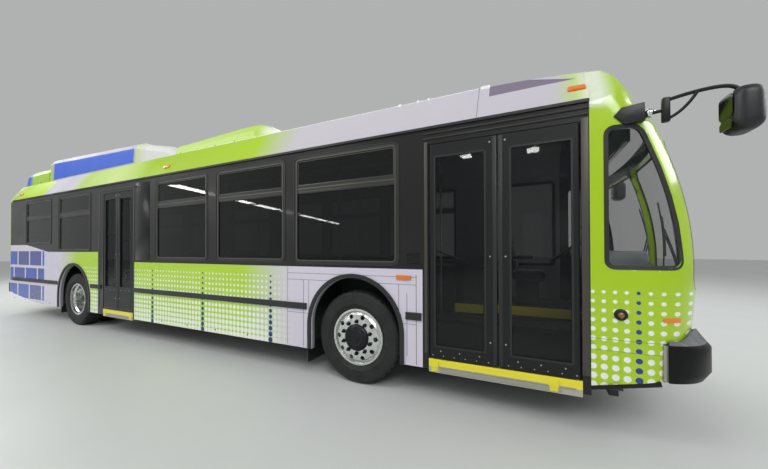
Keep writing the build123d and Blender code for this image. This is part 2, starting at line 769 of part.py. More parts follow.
def black_trim(doors):
    parts = []
    for station, radius, top in ARCHES:
        parts.append(arch_trim(station, radius, top))
    edges = [along(-9050)]
    for station, radius, _ in (ARCHES[1], ARCHES[0]):
        edges += [along(station) - radius - 60, along(station) + radius + 60]
    edges.append(MASK_X)
    for index in range(0, len(edges), 2):
        back, front = edges[index], edges[index + 1]
        pieces = [(back, front)]
        for _, door_back, door_front, *_ in doors:
            cut = []
            for a, b in pieces:
                low, high = along(door_back) - 70, along(door_front) + 70
                if high <= a or low >= b:
                    cut.append((a, b))
                    continue
                cut += [(p, q) for p, q in ((a, low), (high, b)) if q - p > 40]
            pieces = cut
        for a, b in pieces:
            parts.append(block(a, b, -HALF_WIDTH - RUB_OUT, -HALF_WIDTH, *RUB_Z))
    parts.append(block(CAP_X, MASK_X, -HALF_WIDTH - 16, -HALF_WIDTH, RAIL_Z - 14, RAIL_Z + 10))
    return parts


def mud_flaps():
    flaps = []
    for station, bottom, top in ((0, 130, UNDER_FLOOR_Z), (REAR_AXLE, 180, 520)):
        x = along(station) - HOUSING_HALF
        flaps.append(block(x - 8, x, -HALF_WIDTH + 70, -HOUSING_INNER_Y - 60, bottom, top))
    return flaps


# Lamps: round headlamps, tail lamps, and side markers
def headlamp_holes():
    holes = None
    for y in (-980, -790):
        hole = rod_x(86, along(2300), along(FRONT_OVERHANG), y, 930)
        holes = hole if holes is None else holes + hole
    return holes


def lamps():
    parts = (headlamp_holes() & (nose_solid() - nose_solid(WALL))).solids()
    for z in (1680, 1840, 2000):
        parts.append(rod_x(55, REAR_X - 14, REAR_X + 60, -1080, z) - tail_solid())
    parts.append(rod_y(26, -HALF_WIDTH - 12, -HALF_WIDTH, along(2276), 939))
    parts.append(block(along(490), along(640), -HALF_WIDTH - 14, -HALF_WIDTH, 1132, 1172))
    return parts


# Mirrors: a plate on the roof corner, a ball joint, a clamp, two bent tubes and the head
MIRROR_PLATE = [(2240, 2400), (2290, 2455), (2425, 2470), (2430, 2340), (2310, 2325)]
MIRROR_BALL = (2446, -1250, 2395)
MIRROR_CLAMP = (2529, -1335, 2375)
MIRROR_HEAD = (2862, -1425, 2255)
MIRROR_HEAD_SIZE = (165, 240, 310)
UPPER_TUBE = [(2529, -1335, 2440), (2668, -1375, 2462), (2862, -1415, 2445), (2862, -1418, 2380)]
LOWER_TUBE = [(2529, -1335, 2310), (2615, -1358, 2335), (2680, -1378, 2455)]


def bent_tube(points, radius, bend):
    path = FilletPolyline(*[(along(x), y, z) for x, y, z in points], radius=bend)
    return sweep(Plane(path @ 0, z_dir=path % 0) * Circle(radius), path)


def mirror_set():
    outline = polygon(*[(along(x), z) for x, z in MIRROR_PLATE])
    plate = nose_solid(-14) & side_plate(outline, -1400, -1000)
    plate -= nose_solid()
    x, y, z = MIRROR_BALL
    stalk = Pos(along(x), y, z) * Sphere(26)
    clamp_x, clamp_y, clamp_z = MIRROR_CLAMP
    bridge = FilletPolyline((along(x - 60), y + 50, z), (along(x), y, z), (along(clamp_x), clamp_y, clamp_z),
                            radius=20)
    stalk += sweep(Plane(bridge @ 0, z_dir=bridge % 0) * Circle(15), bridge)
    stalk -= nose_solid()
    clamp = Pos(along(clamp_x), clamp_y, clamp_z) * Box(44, 40, 170)
    head = Pos(along(MIRROR_HEAD[0]), *MIRROR_HEAD[1:]) * Box(*MIRROR_HEAD_SIZE)
    head = fillet(head.edges(), 50)
    tubes = bent_tube(UPPER_TUBE, 12, 30) + bent_tube(LOWER_TUBE, 10, 30)
    return plate + stalk + clamp + tubes + head


# Cabin: the driver's place on its platform, then seats and rails
DASH_FOOT_X = 2260
DASH_Y = (-900, 1140)
PLATFORM = dict(back=1150, y=(300, 1180), top=670)
PEDESTAL_HEIGHT = 325
DRIVER_SEAT = (1660, 710)
STEERING_WHEEL = (2130, 710, 1400)
STEERING_TILT = 35


def driver_platform():
    """The step that lifts the driver above the low floor, up to the foot of the dashboard."""
    return block(along(PLATFORM["back"]), along(DASH_FOOT_X), *PLATFORM["y"], FLOOR_Z, PLATFORM["top"])


def dashboard():
    profile = polygon(
        (along(DASH_FOOT_X), FLOOR_Z), (along(2400), FLOOR_Z), (along(2600), 1210), (along(2590), 1300),
        (along(2290), 1330), (along(2220), 1270), (along(2300), 1000),
    )
    return side_plate(profile, *DASH_Y) - steering_column()


def steering_place():
    x, y, z = STEERING_WHEEL
    return Pos(along(x), y, z) * Rot(0, -STEERING_TILT, 0)


def steering_column():
    return steering_place() * Pos(0, 0, -150) * Cylinder(34, 300)


def steering_wheel():
    place = steering_place()
    ring = place * Torus(225, 14)
    spokes = place * (Box(440, 36, 14) + Box(36, 440, 14))
    return ring + (spokes & place * Cylinder(225, 60)) + steering_column()


def driver_seat():
    """Pedestal of the driver's seat."""
    x, y = DRIVER_SEAT
    foot = PLATFORM["top"]
    return block(along(x - 170), along(x + 130), y - 150, y + 150, foot, foot + PEDESTAL_HEIGHT)


def driver_cushions():
    x, y = DRIVER_SEAT
    z = PLATFORM["top"] + PEDESTAL_HEIGHT
    seat = fillet((Pos(along(x), y, z + 65) * Box(480, 500, 130)).edges(), 40)
    back = Pos(along(x - 260), y, z + 465) * Rot(0, -10, 0) * Box(120, 480, 720)
    back = fillet(back.edges(), 40)
    head = fillet((Pos(along(x - 340), y, z + 900) * Box(90, 280, 170)).edges(), 30)
    return [seat + back + head]


# Seat rows: station from the front axle, side, height of what carries them, and leg length
SEAT_ROWS = [
    (-1350, -1, FLOOR_Z, 350), (-2150, -1, FLOOR_Z, 350), (-2950, -1, FLOOR_Z, 350),
    (-1350, 1, FLOOR_Z, 350), (-2150, 1, FLOOR_Z, 350), (-2950, 1, FLOOR_Z, 350),
    (-3750, 1, FLOOR_Z, 350), (-4550, 1, FLOOR_Z, 350),
    (-6500, -1, HOUSING_TOP_Z, 0), (-6500, 1, HOUSING_TOP_Z, 0),
    (-7450, -1, RAISED_Z, 350), (-7450, 1, RAISED_Z, 350),
    (-8650, -1, ENGINE_DECK_Z, 0), (-8650, 1, ENGINE_DECK_Z, 0),
]
SEAT_Y = (330, 1200)


def seats():
    bases, backs, legs = [], [], []
    for station, side, floor, leg_length in SEAT_ROWS:
        x = along(station)
        y_low, y_high = sorted((side * SEAT_Y[0], side * SEAT_Y[1]))
        seat_z = floor + leg_length + 80
        for low, high in ((y_low, (y_low + y_high) / 2 - 5), ((y_low + y_high) / 2 + 5, y_high)):
            base = fillet(block(x, x + 430, low, high, seat_z - 50, seat_z).edges(), 15)
            bases.append(base)
            profile = polygon((x, seat_z - 48), (x, seat_z - 20), (x - 110, seat_z + 520),
                              (x - 150, seat_z + 520), (x - 50, seat_z - 48))
            backs.append(side_plate(profile, low, high))
        middle = (y_low + y_high) / 2
        leg = block(x, x + 380, middle - 320, middle + 320, seat_z - 80, seat_z - 50)
        if leg_length:
            leg += rod_z(30, floor, seat_z - 80, x + 180, middle)
        legs.append(leg)
    return bases, backs, legs


POSTS = dict(stations=(-3950, -2450, -850, 500), y=300, r=16)
GRAB_RAIL = dict(reach=(-4900, 600), z=2300)


def stanchions():
    """Left posts from the floor to the ceiling."""
    inside = cross_plate(body_section(WALL), CAP_X, MASK_X)
    return [rod_z(POSTS["r"], FLOOR_Z, CROWN_Z, along(x), POSTS["y"]) & inside for x in POSTS["stations"]]


def grab_rails():
    """Left ceiling rail, cut where the posts pass."""
    back, front = GRAB_RAIL["reach"]
    rail = rod_x(POSTS["r"], along(back), along(front), POSTS["y"], GRAB_RAIL["z"])
    for post in stanchions():
        rail -= post
    return rail.solids()


def engine_hinge():
    return hinge(REAR_X - 20, ENGINE_DOOR["z"][1] + 8, (-500, 500), (-6, 30, 10, 44), (-5, 22, -64, 0))


def engine_door():
    low, high = ENGINE_DOOR["z"]
    half = ENGINE_DOOR["half"]
    thick = ENGINE_DOOR["thick"]
    door = block(REAR_X, REAR_X + thick, -half, half, low, high)
    for arm in engine_hinge()[1]:
        door += arm
    return door


def main():
    os.makedirs("parts", exist_ok=True)
    # Shell
    save("side_wall_right", side_wall(WINDOWS_RIGHT, DOORS))
    save("side_wall_left", mirror(side_wall(WINDOWS_LEFT, []), Plane.XZ))
    for name, start, end in ROOF_PANELS:
        save(f"roof_{name}", roof_shell(start, end))
    save("front_mask", front_mask())
    save("rear_cap", rear_cap())
    save("front_glass", front_glass())
    save("window_frames", window_frames(WINDOWS_RIGHT),
         [mirror(frame, Plane.XZ) for frame in window_frames(WINDOWS_LEFT)])
    save("side_glass", window_glass(WINDOWS_RIGHT),
         [mirror(pane, Plane.XZ) for pane in window_glass(WINDOWS_LEFT)])
    save("battery_fairing", fairing(BATTERY_FAIRING))
    save("side_fairing", fairing(SIDE_FAIRING))
    save("tail_fairing", fairing(TAIL_FAIRING))
    save("front_bumper", front_bumper())
    save("rear_bumper", rear_bumper())
    # Floor and frame
    save("cabin_floor", cabin_floor())
    save("wheel_housings", both_sides(wheel_housing(0, HOUSING_TOP_Z)),
         both_sides(wheel_housing(REAR_AXLE, HOUSING_TOP_Z)))
    save("chassis_frame", both_sides(low_rail()))
    save("rear_frame", both_sides(high_rail()))
    save("cross_members", cross_members())
    save("engine_block", engine_block())
    save("door_sills", [door_sill(door) for door in DOORS])
    # Trim and lamps
    save("black_trim", black_trim(DOORS), [mirror(part, Plane.XZ) for part in black_trim([])])
    flaps = mud_flaps()
    save("mud_flaps", flaps, [mirror(flap, Plane.XZ) for flap in flaps])
    lamp_list = lamps()
    save("lamps", lamp_list, [mirror(lamp, Plane.XZ) for lamp in lamp_list])
    save("mirrors", both_sides(mirror_set()))
    # Cabin
    save("driver_platform", driver_platform())
    save("dashboard", dashboard())
    save("steering_wheel", steering_wheel())
    save("driver_seat_base", driver_seat())
    save("driver_seat", driver_cushions())
    bases, backs, legs = seats()
    save("seat_bases", bases)
    save("seat_backs", backs)
    save("seat_legs", legs)
    for name, rods in (("grab_rails", grab_rails()), ("stanchions", stanchions())):
        save(name, rods, [mirror(rod, Plane.XZ) for rod in rods])
    # Doors
    for door in DOORS:
        for side, word in ((-1, "aft"), (1, "fore")):
            frame, glass = leaf(door, side)
            save(f"{door[0]}_door_{word}", frame)
            save(f"{door[0]}_door_{word}_glass", glass)
    save("engine_door", engine_door())
    for name, station in HATCHES:
        save(f"hatch_{name}", hatch_lid(station))
    # Running gear
    save("front_axle", front_axle())
    save("rear_axle", rear_axle())
    save("air_springs", air_springs())
    right_knuckle = knuckle()
    save("knuckle_right", right_knuckle)
    save("knuckle_left", mirror(right_knuckle, Plane.XZ))
    front_tyre = tyre()
    twin_tyre = Pos(0, 2 * DISC_OFFSET_REAR, 0) * front_tyre
    rims = {"front": front_wheel(), "rear": rear_wheel()}
    for axle, station in (("front", 0), ("rear", REAR_AXLE)):
        place = Pos(along(station), 0, HUB_Z)
        tyres = [front_tyre] if axle == "front" else [front_tyre, twin_tyre]
        for side in ("right", "left"):
            shapes = [rims[axle]] + tyres
            if side == "left":
                shapes = [mirror(shape, Plane.XZ) for shape in shapes]
            placed = [place * shape for shape in shapes]
            save(f"wheel_{axle}_{side}", placed[0])
            save(f"tyre_{axle}_{side}", placed[1:])


if __name__ == "__main__":
    main()
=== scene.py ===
# %% [markdown]
# # A city bus, dressed over its CAD frame
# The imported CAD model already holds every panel, door and wheel in its place. This lesson gives them the
# paint, glass and rubber of a real bus, and adds what is too small for the CAD: tyre tread, wheel nuts,
# gaskets, latches, lamps, wipers, louvres and the padded seat. All sizes are metres, X forward, Z up.

# %% Load the frame
import bmesh
import bpy
import math
from mathutils import Euler, Matrix, Vector
from mathutils.bvhtree import BVHTree


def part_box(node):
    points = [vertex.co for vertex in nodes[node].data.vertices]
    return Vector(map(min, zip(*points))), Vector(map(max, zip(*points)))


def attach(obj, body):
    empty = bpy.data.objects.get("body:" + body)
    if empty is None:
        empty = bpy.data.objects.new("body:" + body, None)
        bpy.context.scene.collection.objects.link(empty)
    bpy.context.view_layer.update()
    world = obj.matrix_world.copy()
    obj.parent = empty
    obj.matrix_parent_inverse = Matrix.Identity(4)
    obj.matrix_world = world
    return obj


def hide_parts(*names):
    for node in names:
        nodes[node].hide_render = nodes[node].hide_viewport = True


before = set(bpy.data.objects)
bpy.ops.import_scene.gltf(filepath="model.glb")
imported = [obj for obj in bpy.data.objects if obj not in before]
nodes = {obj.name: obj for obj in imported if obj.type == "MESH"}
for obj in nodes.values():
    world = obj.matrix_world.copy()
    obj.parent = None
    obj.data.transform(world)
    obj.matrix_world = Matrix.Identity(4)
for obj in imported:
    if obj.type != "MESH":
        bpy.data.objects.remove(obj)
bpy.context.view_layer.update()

scene = bpy.context.scene
FRONT_AXLE, REAR_AXLE, AXLE_Z = 3.195, -3.005, 0.492
# Y of the outside of the right wall and of the trim on it, and X of the flat back
SIDE, TRIM_Y, BACK_X = -1.295, -1.2975, -6.1455


def station(x):
    """X of a place measured forward from the front axle, as the CAD counts it."""
    return x + FRONT_AXLE


# %% [markdown]
# ## Camera
# The photograph was taken from chest height beside the middle of the bus, with a wide lens, looking
# forward along its door side. The lens and the small shift were solved from wheels, doors and windows.

# %% Camera
lens = bpy.data.cameras.new("camera")
lens.sensor_width = 36
lens.lens = 14.22
lens.shift_x = -0.0090
lens.shift_y = 0.0166
lens.clip_start = 0.05
viewer = bpy.data.objects.new("camera", lens)
viewer.location = (4.8664, -4.0126, 1.418)
viewer.rotation_euler = Euler((math.pi / 2 + 0.0088, 0.0025, 0.4286))
scene.collection.objects.link(viewer)
scene.camera = viewer
scene.view_settings.view_transform = "Standard"
print("camera", lens.lens, "mm")


# %% [markdown]
# ## Helpers for materials
# Colours are written as the screen shows them (sRGB) and turned to linear light here. A Field stands for one
# output of a shader node. Arithmetic on it adds the next nodes, so that a material reads like a formula: a
# comparison gives a mask of 0 and 1, and masks are joined by multiplying them.

# %% Material helpers
def linear(code):
    parts = [int(code[i:i + 2], 16) / 255 for i in (1, 3, 5)]
    return [p / 12.92 if p <= 0.04045 else ((p + 0.055) / 1.055) ** 2.4 for p in parts] + [1.0]


def add(tree, kind, inputs=None, **settings):
    """Adds a shader node, sets its properties and joins or fills its inputs."""
    made = tree.nodes.new(kind)
    for name, value in settings.items():
        setattr(made, name, value)
    for socket, value in (inputs or {}).items():
        value = getattr(value, "socket", value)
        if isinstance(value, bpy.types.NodeSocket):
            tree.links.new(value, made.inputs[socket])
        else:
            made.inputs[socket].default_value = value
    return made


class Field:
    """A number, vector or colour that varies over a surface: one output of a node that is added for it."""

    def __init__(self, tree, kind, inputs=None, output=0, **settings):
        self.tree = tree
        self.socket = add(tree, kind, inputs, **settings).outputs[output]

    def math(self, operation, *values):
        return Field(self.tree, "ShaderNodeMath", dict(enumerate((self, *values))), operation=operation)

    def __add__(self, other):
        return self.math("ADD", other)

    def __sub__(self, other):
        return self.math("SUBTRACT", other)

    def __mul__(self, other):
        return self.math("MULTIPLY", other)

    def __truediv__(self, other):
        return self.math("DIVIDE", other)

    def __lt__(self, other):
        return self.math("LESS_THAN", other)

    def __gt__(self, other):
        return self.math("GREATER_THAN", other)

    def __or__(self, other):
        return self.math("MAXIMUM", other)

    def __abs__(self):
        return self.math("ABSOLUTE")

    def between(self, low, high):
        return self.math("COMPARE", (low + high) / 2, (high - low) / 2)

    def remap(self, low, high, start=0.0, end=1.0):
        """Stretches the range from low to high over start to end, and clamps it."""
        return Field(self.tree, "ShaderNodeMapRange", {"Value": self, "From Min": low, "From Max": high,
                                                       "To Min": start, "To Max": end})

    def parts(self):
        """The X, Y and Z of a vector."""
        return [Field(self.tree, "ShaderNodeSeparateXYZ", {0: self}, axis) for axis in range(3)]


def join(tree, **fields):
    """Joins fields to the inputs of the surface, named with _ for each space."""
    for name, value in fields.items():
        tree.links.new(value.socket, tree.nodes["Principled BSDF"].inputs[name.replace("_", " ")])


def finish(name, colour, roughness, shade=0.15, patch=0.5, grain=2.0, depth=0.05, **shader):
    """A surface whose colour darkens in patches (metres) over a raised grain (millimetres)."""
    material = bpy.data.materials.new(name)
    material.use_nodes = True
    tree = material.node_tree
    place = Field(tree, "ShaderNodeTexCoord", output="Object")
    cloud = Field(tree, "ShaderNodeTexNoise", {"Vector": place, "Scale": 1 / patch, "Detail": 4.0})
    base = linear(colour)
    dark = [c * (1 - shade) for c in base[:3]] + [1.0]
    grit = Field(tree, "ShaderNodeTexNoise", {"Vector": place, "Scale": 1000 / grain, "Detail": 2.0})
    join(tree, Base_Color=Field(tree, "ShaderNodeMix", {0: cloud, 6: base, 7: dark}, 2, data_type="RGBA"),
         Roughness=cloud.remap(0.3, 0.7, roughness * 0.85, roughness * 1.15),
         Normal=Field(tree, "ShaderNodeBump", {"Height": grit, "Distance": depth / 1000}))
    for socket, value in shader.items():
        tree.nodes["Principled BSDF"].inputs[socket.replace("_", " ")].default_value = value
    return material


# %% [markdown]
# ## Plain finishes
# Rubber, moulded plastic, cast iron, painted steel and bright metal differ in how they were made: rubber and
# plastic leave the mould with a fine grain, cast iron is rough from sand, and a wheel of forged aluminium is
# machined and polished. Grain is drawn a little coarser than life, so that it shows from across a hall.

# %% Plain finishes
# Window and edge rubber: carbon black, slightly chalky, with a soft sheen
RUBBER = finish("extruded EPDM rubber", "#202121", 0.45, grain=3, depth=0.12)
# Tyre tread and wall: duller than the trim, brownish where dust sits
TYRE = finish("vulcanised tyre rubber", "#1d1e1e", 0.72, shade=0.35, patch=0.12, grain=4, depth=0.5)
# Bumper and mirror shells: black plastic with a moulded grain
PLASTIC = finish("grained ABS plastic", "#17181b", 0.42, grain=5, depth=0.25)
# Powder coat on door leaves and window frames: even, satin black
POWDER = finish("satin black powder coat", "#1a1b1c", 0.4, shade=0.1, grain=4, depth=0.1,
                Specular_IOR_Level=0.28)
# Window frames: bronze grey anodising over extruded aluminium, satin, a little warmer than the black around
BRONZE = finish("bronze grey anodised frame", "#292a27", 0.42, shade=0.12, patch=0.2, grain=2, depth=0.05,
                Specular_IOR_Level=0.45)
# Thin frame lips round each window, painted a light grey that stands for the highlights along their edges
LIT_LIP = finish("anodised lip painted with its highlight", "#56564f", 0.34, grain=1.5, depth=0.05, Metallic=0.4)
# Forged wheels: bright, polished, with faint machining waves
WHEEL = finish("polished forged aluminium", "#dddfdd", 0.26, shade=0.08, patch=0.08, grain=6, depth=0.06,
               Metallic=1.0)
# Chrome on nuts, mirror ball and bezels
CHROME = finish("chromed steel", "#d9dcdd", 0.1, shade=0.05, grain=4, depth=0.02, Metallic=1.0)
# Brushed steel of posts and rails
STEEL = finish("brushed stainless steel", "#b9bbba", 0.3, grain=2, depth=0.06, Metallic=1.0)
# Frame, axles and underside: black chassis paint with dust
CHASSIS = finish("black chassis paint", "#232426", 0.6, shade=0.3, patch=0.2, grain=6, depth=0.3)
# Castings of knuckles, hubs and engine: sand-rough iron
CAST = finish("sand-cast iron", "#3d3c3a", 0.65, shade=0.3, patch=0.1, grain=5, depth=0.6, Metallic=0.4)
# Galvanised wheel housings: dull zinc with patches
ZINC = finish("galvanised sheet steel", "#55585a", 0.5, shade=0.3, patch=0.06, grain=8, depth=0.1, Metallic=0.6)
# Aisle floor: speckled safety vinyl
VINYL = finish("speckled safety vinyl", "#4a4d50", 0.6, shade=0.2, patch=0.02, grain=6, depth=0.1)
# Step nosing: yellow enamel on aluminium
YELLOW = finish("yellow enamel", "#e8dc2e", 0.35, shade=0.1, grain=5, depth=0.1, Coat_Weight=0.3)
# Folded ramp edge: mill-finish aluminium
MILL = finish("mill-finish aluminium", "#a6a598", 0.42, grain=3, depth=0.1, Metallic=0.35)
# Seat shells: moulded polypropylene, dark blue grey
SHELL = finish("moulded polypropylene", "#23272f", 0.45, grain=4, depth=0.3)
# Dashboard: soft grained plastic, pale grey as seen through the quarter window
DASH = finish("grained dashboard vinyl", "#b4babd", 0.5, grain=5, depth=0.4)
# Roof inside and white lamp bodies
WHITE = finish("white gelcoat", "#f1f2ee", 0.3, shade=0.06, grain=6, depth=0.08, Coat_Weight=0.4)
# Amber and red lamp lenses: tinted acrylic
AMBER = finish("amber acrylic lens", "#e3740e", 0.18, shade=0.2, patch=0.02, grain=9, depth=0.4,
               Coat_Weight=0.6, Emission_Color=linear("#ff7a08"), Emission_Strength=0.12)
RED = finish("red acrylic lens", "#a8120e", 0.18, shade=0.2, patch=0.02, grain=9, depth=0.4, Coat_Weight=0.6)
CLEAR = finish("clear lamp lens", "#e6eaec", 0.08, grain=12, depth=0.3, Coat_Weight=0.6)
# Nuts and caps: black oxide steel, dull with a bluish cast
OXIDE = finish("black oxide steel", "#2b2d30", 0.45, shade=0.3, patch=0.03, grain=4, depth=0.2, Metallic=0.7)
# Weathered door posts: brown grey anodising
POST = finish("brown grey anodised post", "#423e38", 0.4, shade=0.2, patch=0.3, grain=2, depth=0.05)
# Smooth panel beside the rear door: black paint, glossy but dark in every light
SATIN_BLACK = finish("black painted side panel", "#0a0b0c", 0.22, grain=200, depth=0.1,
                     Specular_IOR_Level=0.25)
# Mirrors: metal painted dark grey, a painted dark reflection, so that they mirror darkly
DARK_MIRROR = finish("mirror glass painted with a dark reflection", "#2b2f33", 0.08, shade=0.03, grain=60, depth=0.05, Metallic=1.0)
# Seat inserts: the plastic of the shells in a bluer tone, with a coarse leather grain
INSERT = finish("grained polypropylene insert", "#2d4372", 0.5, shade=0.2, patch=0.1, grain=6, depth=0.5)
PIPING = finish("black vinyl piping", "#15171a", 0.4, grain=3, depth=0.1)
# Near-black enamel for panels that look like glass
GLOSS = finish("black glass enamel", "#121419", 0.08, shade=0.1, grain=40, depth=0.2, Coat_Weight=1.0)
print("finishes", len(bpy.data.materials))


# %% [markdown]
# ## Tinted glass
# Bus glass is grey-tinted and laminated. Real refraction would need many samples, so the pane is a dark,
# very smooth surface that lets part of the light straight through, and it keeps its sharp reflections.

# %% Glass
def tinted(name, colour, alpha):
    return finish(name, colour, 0.02, shade=0.05, grain=900, depth=0.35, IOR=1.5, Alpha=alpha)


SIDE_GLASS = tinted("grey tinted side glass", "#08090b", 0.72)
DOOR_GLASS = tinted("clear door glass", "#0d1113", 0.28)
FRONT_GLASS = tinted("laminated windshield glass", "#26302d", 0.2)
print("glass ready")


# %% [markdown]
# ## Livery
# The bus wears a printed vinyl wrap over gloss paint: lime and lilac grey that fade into one another, with
# rows of white dots that grow downwards like a halftone print and a few columns of blue ones. Every edge of
# it is a place on the body, so the pattern is computed from Object coordinates: a ramp along the bus for the
# colours, and the distance to the nearest point of a square grid for the dots.

# %% Livery colours
LIME, SKIRT_LIME, LILAC, WRAP_WHITE = "#a7ca08", "#b1d53a", "#d1ccd9", "#e9eee6"
DOT_BLUE, PANEL_BLUE, PURPLE_GREY, CABIN_GREY = "#0f3574", "#3560cc", "#5b5270", "#85898b"
PITCH = 0.0695
# The grid of dots starts 200 columns aft and 30 rows down, so that every count of cells is above zero
FIRST_COLUMN, FIRST_ROW = PITCH / 2 - 200 * PITCH, PITCH / 2 - 30 * PITCH


def places(tree):
    """How far ahead of the front axle, to the left and up each point of a surface lies."""
    x, y, z = Field(tree, "ShaderNodeTexCoord", output="Object").parts()
    return x - FRONT_AXLE, y, z


def paint(name, gloss=0.2, coat=0.5, specular=0.5):
    """Gloss paint whose colour is still to come, and the places of its points."""
    material = finish(name, "#ffffff", gloss, shade=0.05, grain=260, depth=0.6, Coat_Weight=coat,
                      Coat_Roughness=0.06, Specular_IOR_Level=specular)
    return material, *places(material.node_tree)


def wear_colour(material, colour):
    """Lets the patchy shade of the finish darken the livery, and joins it to the surface."""
    tree = material.node_tree
    old = tree.nodes["Principled BSDF"].inputs["Base Color"].links[0].from_socket
    join(tree, Base_Color=Field(tree, "ShaderNodeMix", {0: 1.0, 6: colour, 7: old}, 2, data_type="RGBA",
                                blend_type="MULTIPLY"))
    return material


def over(mask, under, colour):
    """Lays a colour over another where the mask is 1. Colours are written as hex or are fields."""
    under, colour = (linear(c) if isinstance(c, str) else c for c in (under, colour))
    return Field(mask.tree, "ShaderNodeMix", {0: mask, 6: under, 7: colour}, 2, data_type="RGBA")


def colours_along(line, stops):
    """Colours that fade into one another along a line: each stop is (place, colour)."""
    low, high = stops[0][0], stops[-1][0]
    ramp = add(line.tree, "ShaderNodeValToRGB", {"Fac": line.remap(low, high)})
    elements = ramp.color_ramp.elements
    for index, (place, colour) in enumerate(stops):
        position = (place - low) / (high - low)
        element = elements[index] if index < 2 else elements.new(position)
        element.position = position
        element.color = linear(colour)
    return ramp.outputs["Color"]


def halftone(u, v, radius):
    """A mask of round dots on a square grid."""
    offsets = [((line / PITCH).math("FRACT") - 0.5) * PITCH for line in (u, v)]
    away = Field(u.tree, "ShaderNodeCombineXYZ", dict(enumerate(offsets)))
    length = Field(u.tree, "ShaderNodeVectorMath", {0: away}, "Value", operation="LENGTH")
    return (length - radius).remap(0.0015, -0.0015)


def split_paint(name, look, level, below, above):
    """Paint in two colours that meet at a level."""
    material, x, y, z = paint(name, *look)
    return wear_colour(material, over(z > level, below, above))


def striped_paint(name, look, stops):
    """Paint whose colours fade along the bus."""
    material, x, y, z = paint(name, *look)
    return wear_colour(material, colours_along(x, stops))


# %% Side panels
def side_livery():
    material, x, y, z = paint("vinyl wrap on side panels", 0.3, 0.12, 0.35)
    skirt = colours_along(x, [(-9.34, LILAC), (-6.70, LILAC), (-6.0, SKIRT_LIME), (-1.62, SKIRT_LIME),
                              (-0.85, LILAC), (2.1, LILAC)])
    first = -1.162
    dots = halftone(x - (first + FIRST_COLUMN), z - (1.109 + FIRST_ROW), z.remap(1.12, 0.33, 0.013, 0.034))
    low_part = z < 1.145
    skirt = over(dots * x.remap(-0.78, -1.35) * (x > -5.95) * low_part, skirt, WRAP_WHITE)
    for column in (first, -2.413, -3.595, -5.193):
        stripe = x.between(column - PITCH / 2, column + PITCH / 2)
        skirt = over(dots * stripe * low_part, skirt, DOT_BLUE)
    # Thin printed panel lines on the lilac part
    for low, high, bottom, top in ((0.508, 0.514, 0.33, 1.08), (0.594, 0.600, 0.40, 1.0), (0.688, 0.695, 0.33, 1.18),
                                   (-0.664, -0.657, 0.33, 1.08), (-0.590, -0.584, 0.33, 1.08),
                                   (-0.897, -0.890, 0.33, 1.23)):
        skirt = over(x.between(low, high) * z.between(bottom, top), skirt, "#6d6678")
    for height in (1.084, 1.157, 0.708):
        skirt = over(z.between(height - 0.003, height + 0.003) * x.between(-0.9, 0.69), skirt, "#857e90")
    # The rear quarter carries plain blocks between pale bars
    spot = Field(x.tree, "ShaderNodeCombineXYZ", {0: x + FRONT_AXLE, 1: z})
    blocks = Field(x.tree, "ShaderNodeTexBrick", {
        "Vector": spot, "Color1": linear(PANEL_BLUE), "Color2": linear(PURPLE_GREY), "Mortar": linear(LILAC),
        "Scale": 1.0, "Mortar Size": 0.03, "Mortar Smooth": 0.05, "Brick Width": 0.62, "Row Height": 0.36,
        "Bias": -0.1}, "Color", offset=0.35)
    skirt = over(x.between(-9.5, -7.42) * z.between(0.2, 1.42), skirt, blocks)
    # Black band of the windows, whose lower edge steps up over the rear axle and the engine
    belt = (x < -5.1) * 0.163 + x.remap(-7.25, -8.3, 0.0, 0.151)
    band = z - belt > 1.232
    for low, high in ((-5.244, -4.095), (0.755, 2.2)):
        band = band | (y < 0.0) * x.between(low, high)
    colour = over(band, skirt, "#181917")
    colour = over(x.between(-9.695, -9.20) * z.between(0.3, 3.2), colour, LIME)
    # The cabin side of the walls is plain grey
    colour = over((abs(y) < 1.272) * (x > -9.155), colour, CABIN_GREY)
    # The rear cap carries the lime of the cove above the rail
    return wear_colour(material, over((z > 2.535) * (x < -9.12), colour, LIME))


# %% Cove and roof
def roof_livery():
    material, x, y, z = paint("gloss paint on roof and coves", 0.34, 0.1, 0.35)
    # Along the cove, the paler lime from -4.85 to -4.55 and the whitish end from 2.0 forward are painted highlights.
    # The lilac and lime from -7.5 to -3.85 are darker copies of the paint, a painted shade.
    cove = colours_along(x, [
        (-9.34, LIME), (-7.55, LIME), (-7.47, "#a4a0ac"), (-6.45, "#a8a4b0"), (-5.95, "#93b407"), (-4.85, "#b3cb70"),
        (-4.55, "#afc766"), (-3.85, "#98ba07"), (-1.5, LIME), (-0.85, "#c2bec6"), (1.86, "#c0bcc5"), (2.0, "#b9cf86"),
        (2.1, "#dce4cd")])
    # Dust dulls the gloss towards the tail, above the engine
    join(x.tree, Specular_IOR_Level=x.remap(-1.6, -3.8, 0.3, 0.02), Coat_Weight=x.remap(-1.6, -3.8, 0.08, 0.0))
    # A darker tapered stripe points forward on the front cove
    aft, fore = 1.345, 2.035
    wedge = abs(z - x.remap(aft, fore, 2.905, 2.822)) < x.remap(aft, fore, 0.100, 0.0)
    cove = over(wedge * x.between(aft, fore), cove, "#7d7286")
    # Across the bus the top starts at the crest, above both coves
    outside = over(abs(y) < 1.068, cove, "#d6d6d4")
    outside = over(x.between(1.249, 1.255) * z.between(2.55, 3.1), outside, "#77727c")
    # The ceiling faces down
    up = Field(x.tree, "ShaderNodeNewGeometry", output="Normal").parts()[2]
    return wear_colour(material, over(up < -0.02, outside, CABIN_GREY))


